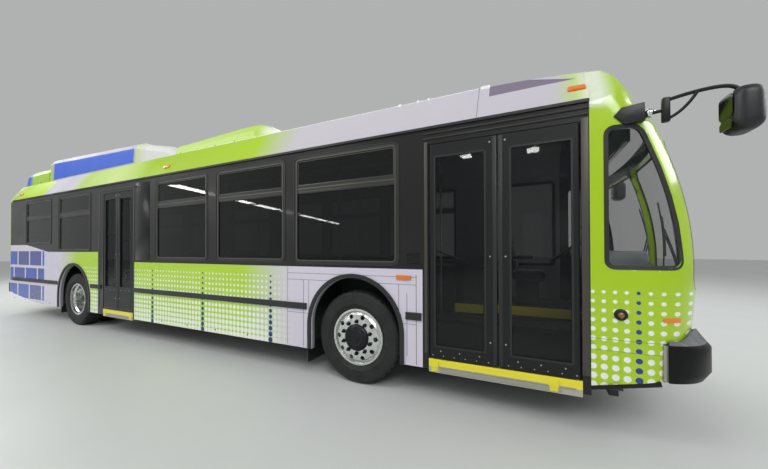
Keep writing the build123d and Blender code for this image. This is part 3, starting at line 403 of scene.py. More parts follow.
# %% Front mask
def mask_livery():
    material, x, y, z = paint("gloss lime on front mask")
    # Distance round the nose: along X on the side, round the corner, then along Y on the face
    corner_x, corner_y, corner_r = 2.43, 0.945, 0.36
    beyond = abs(y) - corner_y
    angle = ((x - corner_x) | 0.0001).math("ARCTAN2", beyond | 0.0001)
    # The columns of dots spread towards the face, where the nose turns away
    eased = angle * angle * -0.33 + angle
    around = eased * corner_r + x.math("MINIMUM", corner_x) - beyond.math("MINIMUM", 0.0)
    column = 2.381
    dots = halftone(around - (column + FIRST_COLUMN), z - (1.102 + FIRST_ROW), z.remap(1.12, 0.45, 0.0125, 0.0245))
    dots = dots * (z < 1.137)
    colour = over(dots, LIME, WRAP_WHITE)
    colour = over(dots * x.between(column - PITCH / 2, column + PITCH / 2), colour, DOT_BLUE)
    # Seams between the mask and its lower corner piece
    for height in (0.752, 0.668):
        colour = over(z.between(height - 0.002, height + 0.002) * x.between(0, 2.7), colour, "#6f8f22")
    # Above the quarter window, where the cove ends, a whitish painted highlight fades out into the lime forward and
    # downwards
    colour = over(x.remap(2.27, 2.17) * z.remap(2.47, 2.53), colour, "#dce4cd")
    # Faces that look back or towards the middle line the cab: dark grey there
    ahead, left, _ = Field(x.tree, "ShaderNodeNewGeometry", output="True Normal").parts()
    return wear_colour(material, over((ahead < -0.05) | (left * y < -0.01), colour, "#34373a"))


# %% Roof fairings
def battery_livery():
    material, x, y, z = paint("gloss paint on battery fairing", 0.42, 0.04, 0.25)
    colour = colours_along(x, [
        (-8.1, LIME), (-7.92, LIME), (-7.86, "#aaa5b2"), (-4.62, "#aaa5b2"), (-4.60, "#b9cc7c"), (-4.54, "#c6d1a6"),
        (-4.48, "#d0d1cc"), (-3.5, "#d0d1cc")])
    panel = (z < x.remap(-7.85, -4.56, 3.335, 3.225)) * x.between(-7.78, -4.66) * z.between(2.965, 3.5)
    return wear_colour(material, over(panel, colour, PANEL_BLUE))


SIDE_PAINT, ROOF_PAINT, MASK_PAINT, BATTERY_PAINT = side_livery(), roof_livery(), mask_livery(), battery_livery()
SIDE_FAIRING_PAINT = striped_paint("gloss paint on side fairing", (0.4, 0.05, 0.3), [
    (-3.6, "#bcd873"), (-1.75, "#b4d35a"), (-1.55, "#eef1e6"), (-1.2, "#eef1e6")])
TAIL_PAINT = striped_paint("gloss paint on tail fairing", (0.4, 0.05, 0.3), [
    (-9.4, PANEL_BLUE), (-9.05, PANEL_BLUE), (-8.9, "#9cc236"), (-8.0, "#9cc236")])
print("livery ready")


# %% Give every CAD node its finish
# Each finish, and the nodes or the parts of their names that it covers. The first that fits is taken.
FINISHES = (
    (SIDE_PAINT, ("side_wall_", "rear_cap", "engine_door")), (CHASSIS, ("rear_frame",)), (ROOF_PAINT, ("roof_",)),
    (MASK_PAINT, ("front_mask",)), (BATTERY_PAINT, ("battery_fairing",)), (SIDE_FAIRING_PAINT, ("side_fairing",)),
    (TAIL_PAINT, ("tail_fairing",)), (FRONT_GLASS, ("front_glass",)), (SIDE_GLASS, ("side_glass",)),
    (BRONZE, ("window_frames",)), (STEEL, ("seat_legs", "grab_rails", "stanchions")), (AMBER, ("lamps",)),
    (VINYL, ("cabin_floor",)), (SHELL, ("driver_platform", "seat_bases", "seat_backs")),
    (PLASTIC, ("_bumper", "mirrors", "steering_wheel")), (ZINC, ("wheel_housings",)), (YELLOW, ("door_sills",)),
    (RUBBER, ("black_trim", "mud_flaps", "air_springs")), (DASH, ("dashboard",)), (WHITE, ("hatch_",)),
    (CHASSIS, ("driver_seat_base", "_axle", "chassis_frame", "cross_members")), (CAST, ("engine_block", "knuckle_")),
    (WHEEL, ("wheel_",)), (TYRE, ("tyre_",)), (DOOR_GLASS, ("_glass",)), (POWDER, ("",)))
for name, item in nodes.items():
    chosen = next(look for look, words in FINISHES if any(word in name for word in words))
    for slot in item.material_slots:
        slot.material = chosen
print("nodes finished", len(nodes))


# %% [markdown]
# ## Helpers for shapes
# A few helpers wrap Blender's own mesh operators: a block with rounded edges, a rod between two points, a
# profile spun round an axis, and flat rings and plates with round corners. Each piece ends as one mesh at
# the origin that rides on a CAD body, so that it swings or rolls with it.

# %% Making pieces
def new(count):
    """Some empty meshes to build in."""
    return [bmesh.new() for _ in range(count)]


def piece(name, bm, material, body="bus_body", replace=(), pair=False):
    """Ends a mesh as an object that rides on a body. A pair gets its left-hand copy too."""
    if pair:
        bmesh.ops.mirror(bm, geom=bm.verts[:] + bm.edges[:] + bm.faces[:], axis="Y", merge_dist=-1)
    bmesh.ops.remove_doubles(bm, verts=bm.verts, dist=0.00002)
    bmesh.ops.recalc_face_normals(bm, faces=bm.faces)
    mesh = bpy.data.meshes.new(name)
    bm.to_mesh(mesh)
    bm.free()
    mesh.materials.append(material)
    mesh.shade_smooth()
    mesh.set_sharp_from_angle(angle=math.radians(35))
    made = bpy.data.objects.new(name, mesh)
    scene.collection.objects.link(made)
    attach(made, body)
    if replace:
        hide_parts(*replace)
    print(name, len(mesh.polygons), "faces")
    return made


def pieces(*parts, **more):
    """Ends several meshes, each given with its name and its finish."""
    for bm, name, material in parts:
        piece(name, bm, material, **more)


# %% Solid shapes
def turn_to(way, start=(0, 0, 1)):
    """The turn that leads from one direction to another."""
    return Vector(start).rotation_difference(Vector(way)).to_matrix().to_4x4()


def rounded(bm, geom, radius, segments=2, kind="EDGES"):
    bmesh.ops.bevel(bm, geom=geom, offset=radius, segments=segments, profile=0.5, affect=kind, material=-1)


def block(bm, low, high, edge=0.0, turn=None, segments=2):
    """A box between two corners, turned about its middle, with rounded edges."""
    middle, size = (Vector(low) + Vector(high)) / 2, Vector(high) - Vector(low)
    place = Matrix.Translation(middle) @ (turn or Matrix.Identity(4)) @ Matrix.Diagonal((*size, 1))
    corners = bmesh.ops.create_cube(bm, size=1.0, matrix=place)["verts"]
    if edge:
        rounded(bm, list({e for v in corners for e in v.link_edges}), edge, segments)


def slab(bm, centre, half, edge, turn=None):
    """A block given by its middle and half of its size."""
    block(bm, Vector(centre) - Vector(half), Vector(centre) + Vector(half), edge, turn)


def rod(bm, start, end, radius, sides=12, end_radius=None):
    start, end = Vector(start), Vector(end)
    bmesh.ops.create_cone(bm, cap_ends=True, segments=sides, radius1=radius,
                          radius2=radius if end_radius is None else end_radius, depth=(end - start).length,
                          matrix=Matrix.Translation((start + end) / 2) @ turn_to(end - start))


def dome(bm, centre, turn, size, sides=10, rings=6):
    """A flattened sphere, half sunk in what it sits on."""
    bmesh.ops.create_uvsphere(bm, u_segments=sides, v_segments=rings, radius=1.0,
                              matrix=Matrix.Translation(centre) @ turn @ Matrix.Diagonal((*size, 1)))


def bolt(bm, centre, out, radius, height):
    dome(bm, centre, turn_to(out), (radius, radius, height))


def turned(bm, outline, centre, axis, steps=32):
    """Spins an outline of (radius, distance along the axis) round the axis through centre."""
    centre, axis = Vector(centre), Vector(axis).normalized()
    out = axis.orthogonal().normalized()
    points = [bm.verts.new(centre + axis * along + out * radius) for radius, along in outline]
    edges = [bm.edges.new(pair) for pair in zip(points, points[1:])]
    bmesh.ops.spin(bm, geom=points + edges, cent=centre, axis=axis, angle=math.tau, steps=steps,
                   use_merge=True, use_duplicate=False)


def bent_tube(bm, points, radius, resolution=6):
    """A tube through points, swept by a bevelled curve and turned into mesh."""
    curve = bpy.data.curves.new("path", "CURVE")
    curve.dimensions = "3D"
    curve.bevel_depth = radius
    curve.bevel_resolution = 3
    curve.use_fill_caps = True
    spline = curve.splines.new("NURBS")
    spline.points.add(len(points) - 1)
    for point, place in zip(spline.points, points):
        point.co = (*place, 1)
    spline.order_u = 3
    spline.use_endpoint_u = True
    spline.resolution_u = resolution
    holder = bpy.data.objects.new("path", curve)
    swept = bpy.data.meshes.new_from_object(holder)
    bm.from_mesh(swept)
    bpy.data.meshes.remove(swept)
    bpy.data.objects.remove(holder)
    bpy.data.curves.remove(curve)


# %% Flat shapes
def rectangle(u_low, u_high, v_low, v_high):
    return [(u_low, v_low), (u_high, v_low), (u_high, v_high), (u_low, v_high)]


def rounded_face(bm, outline, corner, segments=5, picked=None):
    """A flat face from a few corner points, all or some of them rounded. Returns the new faces."""
    before = set(bm.faces)
    points = [bm.verts.new(point) for point in outline]
    bm.faces.new(points)
    bm.normal_update()
    rounded(bm, [points[i] for i in picked or range(len(points))], corner, segments, "VERTICES")
    return [f for f in bm.faces if f not in before]


def rim(bm, outline, corner, width, segments=5, picked=None):
    """A flat ring: a rounded face, inset, with its middle taken out. Returns the new faces."""
    before = set(bm.faces)
    whole = rounded_face(bm, outline, corner, segments, picked)
    bmesh.ops.inset_individual(bm, faces=whole, thickness=width, depth=0.0, use_even_offset=True)
    bmesh.ops.delete(bm, geom=[f for f in whole if f.is_valid], context="FACES")
    return [f for f in bm.faces if f not in before]


def thicken(bm, faces, way):
    """Grows flat faces into a plate by moving a copy of them."""
    grown = bmesh.ops.extrude_face_region(bm, geom=faces, use_keep_orig=True)["geom"]
    bmesh.ops.translate(bm, verts=[v for v in grown if isinstance(v, bmesh.types.BMVert)], vec=way)


def ring(bm, x_low, x_high, z_low, z_high, corner, width, y_out, y_in):
    """A window ring in the side plane, as thick as from y_out to y_in."""
    outline = [(x, y_out, z) for x, z in rectangle(x_low, x_high, z_low, z_high)]
    thicken(bm, rim(bm, outline, corner, width), (0, y_in - y_out, 0))


def plate(bm, x_face, y_low, y_high, z_low, z_high, corner, depth):
    """A thin rounded plate across the bus, grown from x_face by depth."""
    outline = [(x_face, y, z) for y, z in rectangle(y_low, y_high, z_low, z_high)]
    thicken(bm, rounded_face(bm, outline, corner), (depth, 0, 0))


# %% Surfaces and copies of CAD nodes
shaped = {}


def reshape(name, change, cuts):
    """A merged copy of a CAD node, cut by planes across its axes and then moved point by point."""
    bm = bmesh.new()
    bm.from_mesh(nodes[name].data)
    bmesh.ops.remove_doubles(bm, verts=bm.verts, dist=0.00005)
    for axis, values in cuts.items():
        across = Vector((axis == "x", axis == "y", axis == "z"))
        for value in values:
            bmesh.ops.bisect_plane(bm, geom=bm.verts[:] + bm.edges[:] + bm.faces[:], plane_co=across * value,
                                   plane_no=across)
    for vertex in bm.verts:
        change(vertex.co)
    shaped[name] = piece(f"{name}_shaped", bm, nodes[name].material_slots[0].material, replace=[name])


def surface_of(*names):
    """The surface of some nodes, or of what stands for them, ready to be hit by rays."""
    points, faces = [], []
    for name in names:
        mesh = shaped.get(name, nodes[name]).data
        start = len(points)
        points += [v.co.copy() for v in mesh.vertices]
        faces += [[start + i for i in p.vertices] for p in mesh.polygons]
    return BVHTree.FromPolygons(points, faces)


def hit(surface, start, way):
    """Where a ray meets a surface, and which way the surface faces there."""
    return surface.ray_cast(Vector(start), Vector(way))[:2]


def lay_on(vertices, surface, way, lift):
    """Moves each vertex along a way until it lies on the surface, lifted by a small distance."""
    way = Vector(way)
    for vertex in vertices:
        spot = hit(surface, vertex.co - way * 2, way)[0]
        if spot:
            vertex.co = spot - way * lift


# %% [markdown]
# ## Brow and bumper top
# The CAD roof runs level into the nose, and the mask has a level foot. On the bus the crest bends down over
# the last metre, the corners above the quarter windows lean back, the foot of the mask rises towards the
# bumper and the bumper has a raised top at both corners. Copies of those nodes are cut where they bend, their
# points are moved, and they stand for the nodes.

# %% Bend the nose
def ramp_up(value, low, high):
    """0 up to low, 1 from high on, and a straight slope between."""
    return min(max((value - low) / (high - low), 0.0), 1.0)


def brow(point):
    crest = ramp_up(point.x, station(1.25), station(2.2)) ** 2 * ramp_up(point.z, 2.62, 2.92)
    point.z -= 0.06 * crest
    lean = ramp_up(point.z, 2.36, 2.5) * ramp_up(point.z, 2.85, 2.6) * ramp_up(abs(point.y), 0.87, 1.02)
    point.x -= 0.05 * lean * ramp_up(point.x, station(2.3), station(2.5))
    if point.z < 0.746 and abs(point.x - station(2.55)) < 0.006:
        point.x -= 0.024
    foot = -0.020 + 0.095 * ramp_up(point.x, station(2.09), station(2.52))
    point.z += foot * ramp_up(point.z, 0.70, 0.412)


def bumper_top(point):
    corner = ramp_up(point.z, 0.78, 0.79) * ramp_up(abs(point.y), 0.95, 1.15)
    point.z += corner * (-0.045 + 0.125 * ramp_up(point.x, station(2.60), station(2.78)))


def deeper_headlamps(point):
    point.x -= 0.045 * (point.x > 5.75)


# The bumper is black below 0.748. Above that, its top is painted grey, a painted sheen of the light on its upper
# face.
nodes["front_bumper"].material_slots[0].material = split_paint(
    "black grained plastic with a painted sheen on top", (0.45, 0.05, 0.18), 0.748, "#0d0d0e", "#6c6f71")
reshape("roof_front", brow, {"x": [station(v) for v in (1.25, 1.49, 1.73, 1.97)], "z": [2.62, 2.92]})
reshape("front_mask", brow, {"x": [station(v) for v in (2.2, 2.3, 2.4, 2.5, 2.7)],
                             "z": [0.70, 2.36, 2.43, 2.50, 2.62, 2.74, 2.85, 2.92], "y": [-1.02, -0.87, 0.87, 1.02]})
reshape("front_bumper", bumper_top, {"x": [station(v) for v in (2.60, 2.66, 2.72, 2.78)]})
reshape("lamps", deeper_headlamps, {})

# %% [markdown]
# ## Studio
# A plain pale floor and a soft, even light from above, with long lamps like those of the hall, which draw
# bright lines along the coves. The floor takes the shadow of the bus.

# %% Floor and light
def studio():
    bm = bmesh.new()
    bmesh.ops.create_circle(bm, cap_ends=True, segments=64, radius=60)
    mesh = bpy.data.meshes.new("floor")
    bm.to_mesh(mesh)
    bm.free()
    ground = bpy.data.objects.new("floor", mesh)
    scene.collection.objects.link(ground)
    concrete = finish("sealed pale concrete", "#cfd2d0", 0.42, shade=0.08, patch=1.5, grain=8, depth=0.05)
    mesh.materials.append(concrete)
    world = scene.world or bpy.data.worlds.new("studio")
    scene.world = world
    world.use_nodes = True
    back = world.node_tree.nodes["Background"]
    back.inputs["Color"].default_value = linear("#e6e8e8")
    back.inputs["Strength"].default_value = 0.55
    # Name, place, the point it is turned to, width and height, watts
    lamps = [("key", (10, -11, 10.5), (2, -1.3, 1.2), (9, 5), 800),
             ("fill", (-9, -10, 11), (-3, -1.3, 1.2), (10, 5), 700),
             ("front", (15, 2, 7), (5.5, 0, 1.3), (6, 4), 350), ("far", (0, 11, 10.5), (0, 1.3, 1.2), (14, 5), 1000),
             ("back", (-15, 0, 8), (-6, 0, 1.5), (6, 4), 350)]
    for word, side in (("cove", -1), ("cove_far", 1)):
        lamps += [(f"{word}_{index}", (x, side * 3.8, 6.4), (x, side * 1.2, 2.8), (1.5, 0.55), 26)
                  for index, x in enumerate((-6.5, -3.0, 0.4, 3.8))]
    # A row of hall lamps far behind the viewer: seen only as bright dashes in the side glass
    start, end = Vector((-12.8, -8.4, 5.0)), Vector((-19.0, -33.5, 5.0))
    for index in range(7):
        middle = start.lerp(end, (index + 0.5) / 7)
        lamps.append((f"hall_{index}", middle, middle + Vector((0, 0, -1)), (3.1, 0.7), 150))
    # Two ceiling lamps that the front door mirrors
    lamps += [("pane_0", (2.56, -10.93, 5.2), (2.56, -10.92, 0), (0.42, 0.62), 30),
              ("pane_1", (5.01, -11.26, 5.2), (5.01, -11.25, 0), (0.42, 0.62), 30)]
    for name, place, aim, size, power in lamps:
        lamp = bpy.data.lights.new(name, "AREA")
        lamp.shape = "RECTANGLE"
        lamp.size, lamp.size_y = size
        lamp.energy = power
        holder = bpy.data.objects.new(name, lamp)
        turn = (Vector(aim) - Vector(place)).to_track_quat("-Z", "Y")
        if name.startswith("hall"):
            turn = Euler((0, 0, math.atan2(end.y - start.y, end.x - start.x))).to_quaternion()
        holder.rotation_euler = turn.to_euler()
        holder.location = place
        holder.visible_camera = False
        scene.collection.objects.link(holder)
    print("studio lit with", len(lamps), "lamps")


studio()


# %% [markdown]
# ## Tyres
# The CAD tyres are plain rings. A real 22.5-inch steer tyre has four grooves round the tread, notches along
# its shoulders and two raised rims on its wall that guard it against kerbs. One half of the profile is
# written down and mirrored, the whole is spun round the axle, and every third face of the outer ribs is
# pressed in to make the notches.

# %% Tyre profile
# Each profile is a list of (radius, distance from the middle of the tyre)
WALL_PROFILE = [(0.288, 0.098), (0.297, 0.112), (0.318, 0.124), (0.344, 0.135), (0.350, 0.140), (0.357, 0.1385),
                (0.395, 0.1445), (0.430, 0.1415), (0.446, 0.1385), (0.452, 0.1405), (0.459, 0.1365),
                (0.474, 0.129), (0.4855, 0.117), (0.4905, 0.104)]
TREAD_PROFILE = [(0.4915, 0.078), (0.481, 0.076), (0.481, 0.067), (0.492, 0.065), (0.492, 0.030), (0.481, 0.028),
                 (0.481, 0.019), (0.492, 0.017)]
LINER = [(0.300, 0.090), (0.360, 0.120), (0.450, 0.117), (0.470, 0.050)]
SIDES = ((-1, "right"), (1, "left"))


def tyre(bm, centre, steps=120):
    half = WALL_PROFILE + TREAD_PROFILE
    outside = half + [(r, -y) for r, y in reversed(half)]
    inner = [(r, -y) for r, y in LINER] + [(r, y) for r, y in reversed(LINER)]
    before = set(bm.faces)
    turned(bm, outside + inner + [outside[0]], centre, (0, 1, 0), steps)
    ribs = []
    for face in set(bm.faces) - before:
        away = face.calc_center_median() - Vector(centre)
        turn = int((math.atan2(away.z, away.x) / math.tau + 0.5) * steps + 0.5)
        if turn % 3 == 0 and math.hypot(away.x, away.z) > 0.478 and 0.08 < abs(away.y) < 0.126:
            ribs.append(face)
    bmesh.ops.inset_individual(bm, faces=ribs, thickness=0.0012, depth=-0.007)


for side, word in SIDES:
    for end, axle_x, middles in (("front", FRONT_AXLE, (1.095,)), ("rear", REAR_AXLE, (1.095, 0.765))):
        bm = bmesh.new()
        for middle in middles:
            tyre(bm, (axle_x, side * middle, AXLE_Z))
        piece(f"tyre_tread_{end}_{word}", bm, TYRE, f"wheel_{end}_{word}", [f"tyre_{end}_{word}"])

# %% [markdown]
# ## Nuts, hub caps and valves
# Ten dark flange nuts hold each wheel on a 335 mm circle. A front hub ends in a black cap with a raised
# centre, a rear one in the long drum of the drive axle. All are turned parts, so they are profiles spun
# round the axle, and each nut is a six-sided cone on a washer.

# %% Wheel parts
CAP_PROFILE = [(0.0, 0.037), (0.046, 0.037), (0.050, 0.032), (0.058, 0.0315), (0.064, 0.035), (0.090, 0.0345),
               (0.096, 0.029), (0.116, 0.027), (0.122, 0.022), (0.138, 0.012), (0.142, 0.004), (0.142, -0.004)]
BOLT_CIRCLE = 0.335
# How far the discs of the front and rear wheels lie from the middle plane
FRONT_DISC, REAR_DISC = 1.234, 0.944
DRUM_PROFILE = [(0.142, -0.004), (0.140, 0.022), (0.126, 0.038), (0.090, 0.052), (0.080, 0.078), (0.077, 0.176),
                (0.070, 0.187), (0.040, 0.189), (0.0, 0.189)]


def wheel_parts(name, axle_x, face_y, out, profile):
    """Nuts, hub and valve of one wheel, whose disc lies at face_y and looks out along Y."""
    def on_disc(turn, radius, lift=0.0):
        angle = math.tau * turn
        return Vector((axle_x + radius * math.cos(angle), face_y + out * lift, AXLE_Z + radius * math.sin(angle)))
    nuts, hub, valve = new(3)
    tip = Vector((0, out, 0))
    for index in range(10):
        foot = on_disc((index + 0.5) / 10, BOLT_CIRCLE / 2)
        for low, high, radius, sides, end_radius in ((-0.002, 0.006, 0.0235, 16, 0.020),
                                                     (0.004, 0.024, 0.0170, 6, 0.0155),
                                                     (0.020, 0.033, 0.0105, 10, None)):
            rod(nuts, foot + tip * low, foot + tip * high, radius, sides, end_radius)
    turned(hub, profile, (axle_x, face_y, AXLE_Z), tip, 48)
    for index in range(8):
        foot = on_disc(index / 8, 0.106, 0.026)
        rod(hub, foot, foot + tip * 0.010, 0.0085, 6)
    start = Vector((axle_x + 0.222, face_y - out * 0.03, AXLE_Z + 0.012))
    bent_tube(valve, [start, start + tip * 0.035, start + Vector((0.012, out * 0.055, 0.0))], 0.0045)
    pieces((nuts, f"{name}_nuts", OXIDE), (hub, f"{name}_hub", OXIDE), (valve, f"{name}_valve", CHROME), body=name)


for side, word in SIDES:
    wheel_parts(f"wheel_front_{word}", FRONT_AXLE, side * FRONT_DISC, side, CAP_PROFILE)
    wheel_parts(f"wheel_rear_{word}", REAR_AXLE, side * REAR_DISC, side, DRUM_PROFILE)

# %% [markdown]
# ## Side windows
# Each side window is a rounded aluminium frame, clamped in the wall by a rubber bead. Its upper third is a
# vent that tips inwards, with its own thin sash and two latches. The rings are flat faces with bevelled
# corners, inset and thickened.

# %% Window rings
# Rear edge, front edge and lower edge, the first two measured from the front axle
RIGHT_WINDOWS = [(-8.300, -7.130, 1.580), (-6.740, -5.540, 1.440), (-3.480, -2.350, 1.312),
                 (-2.103, -0.970, 1.312), (-0.760, 0.478, 1.300)]
LEFT_WINDOWS = RIGHT_WINDOWS + [(-5.080, -3.860, 1.312), (1.000, 2.000, 1.200)]
WINDOW_TOP = 2.445


def around(bm, low, high, bottom, top, spare, corner, width, y_out, y_in):
    """A ring that stands outside its opening by a spare width, or inside it where that is less than 0."""
    ring(bm, low - spare, high + spare, bottom - spare, top + spare, corner, width, y_out, y_in)


for (side, word), table in zip(SIDES, (RIGHT_WINDOWS, LEFT_WINDOWS)):
    bead, lip, latch, sash = new(4)
    for aft, fore, bottom in table:
        aft, fore = station(aft), station(fore)
        around(bead, aft, fore, bottom, WINDOW_TOP, 0.040, 0.076, 0.010, side * 1.2995, side * 1.290)
        # The lips are painted light grey as their highlights
        around(lip, aft, fore, bottom, WINDOW_TOP, 0.006, 0.046, 0.014, side * 1.2985, side * 1.286)
        if bottom > 1.25:
            centre = (aft + fore) / 2
            half = (fore - aft) / 2
            around(lip, aft, fore, 2.128, WINDOW_TOP, -0.014, 0.026, 0.009, side * 1.290, side * 1.286)
            slab(lip, (centre, side * 1.295, 2.112), (half, 0.002, 0.008), 0.003)
            for z, half_z in ((2.074, 0.016), (2.148, 0.014)):
                slab(sash, (centre, side * 1.2915, z), (half - 0.004, 0.003, half_z), 0.002)
            for x in (aft + 0.22, fore - 0.22):
                slab(latch, (x, side * 1.262, 2.148), (0.030, 0.010, 0.012), 0.004)
                rod(latch, (x, side * 1.262, 2.148), (x, side * 1.238, 2.148), 0.008, 10)
    pieces((bead, f"window_beads_{word}", RUBBER), (lip, f"window_lips_{word}", LIT_LIP),
           (latch, f"vent_latches_{word}", CHROME), (sash, f"window_sashes_{word}", BRONZE))

# %% [markdown]
# ## Passenger doors
# The leaves are black aluminium frames. Their panes sit in rubber, a soft nose seal closes the seam, a push
# bar crosses each leaf at knee height, and round-headed bolts hold the lower rail. Everything here rides on
# its leaf, so it swings with it.

# %% Door trim
for door, seam_x in (("front", 4.620), ("rear", -1.405)):
    for word, way in (("aft", -1), ("fore", 1)):
        leaf = f"{door}_door_{word}"
        low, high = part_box(f"{leaf}_glass")
        gasket, heads, bars = new(3)
        around(gasket, low.x, high.x, low.z, high.z, 0.006, 0.022, 0.016, -1.2985, -1.284)
        slab(gasket, (seam_x + way * 0.0232, -1.2955, 1.410), (0.017, 0.0035, 0.980), 0.003)
        width = high.x - low.x
        # Place, height, radius and how far each bolt stands out
        heads_at = [(low.x + width * part, low.z - 0.040, 0.0065, 0.004) for part in (0.12, 0.5, 0.88)]
        heads_at += [(low.x - 0.02 + (width + 0.04) * part / 5, 0.448, 0.0055, 0.0035) for part in range(6)]
        heads_at += [(seam_x + way * 0.062, z, 0.0085, 0.005) for z in (0.62, 1.36, 2.345)]
        for x, z, radius, height in heads_at:
            bolt(heads, (x, SIDE, z), (0, -1, 0), radius, height)
        if door == "front":
            block(bars, (low.x - 0.004, -1.256, 0.765), (high.x + 0.004, -1.238, 0.822), 0.005)
            rod(bars, (low.x - 0.003, -1.246, 0.833), (high.x + 0.003, -1.246, 0.833), 0.006)
            if word == "aft":
                rod(bars, (low.x + 0.010, -1.246, 1.405), (high.x - 0.010, -1.246, 1.255), 0.008)
        else:
            block(bars, (low.x - 0.004, -1.256, 1.065), (high.x + 0.004, -1.238, 1.105), 0.005)
        pieces((gasket, f"{leaf}_gasket", RUBBER), (heads, f"{leaf}_bolts", STEEL),
               (bars, f"{leaf}_push_bar", POWDER), body=leaf)

# %% [markdown]
# ## Door sills and ramp edge
# Under each doorway runs a bright yellow nosing over the folded aluminium ramp, whose hinge tabs are yellow
# too. The CAD sill is one solid, so its material changes colour by height, and the tabs and the hinge tube
# are added on it.

# %% Sills
SILL = split_paint("yellow enamel over mill aluminium", (0.35,), 0.343, "#a9a89b", "#e8dd2a")
for slot in nodes["door_sills"].material_slots:
    slot.material = SILL
tabs, tubes = new(2)
for x in (station(0.870), station(1.840), -1.80, -1.01):
    block(tabs, (x - 0.036, -1.303, 0.330), (x + 0.036, -1.290, 0.402), 0.004)
    block(tabs, (x - 0.030, -1.300, 0.300), (x + 0.030, -1.292, 0.334), 0.003)
for low, high in ((4.050, 5.190), (-1.83, -0.98)):
    rod(tubes, (low, -1.296, 0.345), (high, -1.296, 0.345), 0.006, 10)
    block(tubes, (low + 0.07, -1.2985, 0.300), (high - 0.10, -1.294, 0.332), 0.002)
piece("sill_tabs", tabs, YELLOW)
piece("ramp_hinges", tubes, MILL)

# %% [markdown]
# ## Small side fittings
# Round the doors stand thin posts and headers, and beside the rear door a smooth black panel. Beside the
# front door is a louvred vent, and quarter-turn latches hold the access panels in the skirt. Small white
# clips follow the top edge of the cove, and a thin white rail along the crest is a painted highlight.

# %% Posts, header and panel
posts, header, panel, edging = new(4)
for low, high in ((0.776, 0.803), (2.034, 2.084), (-5.215, -5.185), (-4.135, -4.105)):
    block(posts, (station(low), -1.2990, 0.46), (station(high), -1.2945, 2.425), 0.0015)
for z in (2.452, 2.500):
    rod(header, (station(0.76), TRIM_Y, z), (station(2.085), TRIM_Y, z), 0.009, 10)
rod(header, (-1.95, TRIM_Y, 2.452), (-0.86, TRIM_Y, 2.452), 0.007, 10)
block(panel, (station(-4.070), TRIM_Y, 1.265), (station(-3.675), -1.2940, 2.500), 0.0015)
block(edging, (station(1.150), 0.286, 0.560), (station(2.255), 0.299, 0.676), 0.003)
block(edging, (station(0.700), 0.292, 0.540), (station(1.090), 0.300, 0.660), 0.003)
pieces((posts, "door_posts", POST), (header, "door_headers", BRONZE),
       (panel, "black_side_panel", SATIN_BLACK), (edging, "platform_edging", YELLOW))

# %% Vents, latches and clips
vent, latches, clips = new(3)
ring(vent, station(0.596), station(0.722), 1.274, 1.392, 0.008, 0.010, -1.2995, -1.293)
for height in (1.294, 1.321, 1.348, 1.372):
    slab(vent, (station(0.659), TRIM_Y, height), (0.051, 0.003, 0.006), 0.002,
         Matrix.Rotation(math.radians(25), 4, "X"))
piece("vent_beside_door", vent, POWDER)
for x in (-8.95, -8.35, -7.75, -7.15, -5.35, -3.35, -2.75, -2.15, -1.55, 0.55):
    bolt(latches, (station(x), -1.2955, 0.36), (0, -1, 0), 0.010, 0.004)
piece("panel_latches", latches, OXIDE, pair=True)
ROOF_NODES = [name for name in nodes if name.startswith("roof_")]
roof = surface_of(*ROOF_NODES)


def on_crest(place, y):
    return hit(roof, (station(place), y, 4.0), (0, 0, -1))[0]


for index in range(46):
    spot, normal = hit(roof, (-5.70 + index * 0.24, -2.0, 2.935), (0, 1, 0))
    if spot:
        bolt(clips, spot, normal, 0.008, 0.004)
for place, length in ((0.439, 0.030), (0.639, 0.022), (0.756, 0.022), (1.305, 0.080)):
    spot = on_crest(place, -1.068)
    block(clips, spot - Vector((length / 2, 0.020, 0.020)), spot + Vector((length / 2, 0.012, 0.014)), 0.005)
# A thin white rail along the crest: a painted highlight on the crest line
bent_tube(clips, [on_crest(place, -1.074) + Vector((0, 0, 0.003)) for place in (-2.9, -2.0, -1.0, 0.0, 0.8, 1.24)],
          0.005, 3)
piece("cove_clips", clips, WHITE, pair=True)

# %% [markdown]
# ## Gaskets of the front windows
# The windshields, the sign window and the bowed quarter windows sit in thick black rubber that follows the
# rounded nose. Each gasket starts as a flat ring in front of its window. Its long edges are divided, every
# vertex is then moved back along a ray until it meets the nose, and the band is given its thickness.

# %% Nose gaskets
nose = surface_of("front_mask", "front_glass")


def pressed_ring(bm, outline, corner, width, way, lift, longest, cuts, picked=None):
    """A rubber ring pressed back on the nose, its edges over the longest length divided by cuts."""
    before = set(bm.faces)
    band = rim(bm, outline, corner, width, 6, picked)
    long_edges = list({e for f in band for e in f.edges if e.calc_length() > longest})
    bmesh.ops.subdivide_edges(bm, edges=long_edges, cuts=cuts, use_grid_fill=True)
    band = [f for f in bm.faces if f not in before]
    lay_on({v for f in band for v in f.verts}, nose, way, lift)
    bmesh.ops.solidify(bm, geom=band, thickness=0.008)


gaskets, bow = new(2)
QUARTER = [(2.183, 1.274), (2.650, 1.274), (2.643, 1.40), (2.622, 1.60), (2.583, 1.80), (2.530, 2.00),
           (2.474, 2.17), (2.417, 2.332), (2.183, 2.332)]
# The ring starts a little outside its window, so that its outer edge lies on the mask
wider = [(station((x - 2.4) * 1.02 + 2.4), -1.6, (z - 1.8) * 1.008 + 1.8) for x, z in QUARTER]
pressed_ring(bow, wider, 0.066, 0.031, (0, 1, 0), 0.004, 0.06, 6, (0, 1, 7, 8))
piece("quarter_window_gaskets", bow, RUBBER, pair=True)
for low, high, bottom, top, corner, lift in ((0.006, 1.150, 1.118, 2.242, 0.10, 0.002),
                                             (-1.150, -0.006, 1.118, 2.242, 0.10, 0.002),
                                             (-0.832, 0.832, 2.318, 2.602, 0.06, 0.004)):
    outline = [(6.2, y, z) for y, z in rectangle(low, high, bottom, top)]
    pressed_ring(gaskets, outline, corner, 0.024, (-1, 0, 0), lift, 0.024 * 1.8, 9)
piece("windshield_gaskets", gaskets, RUBBER)

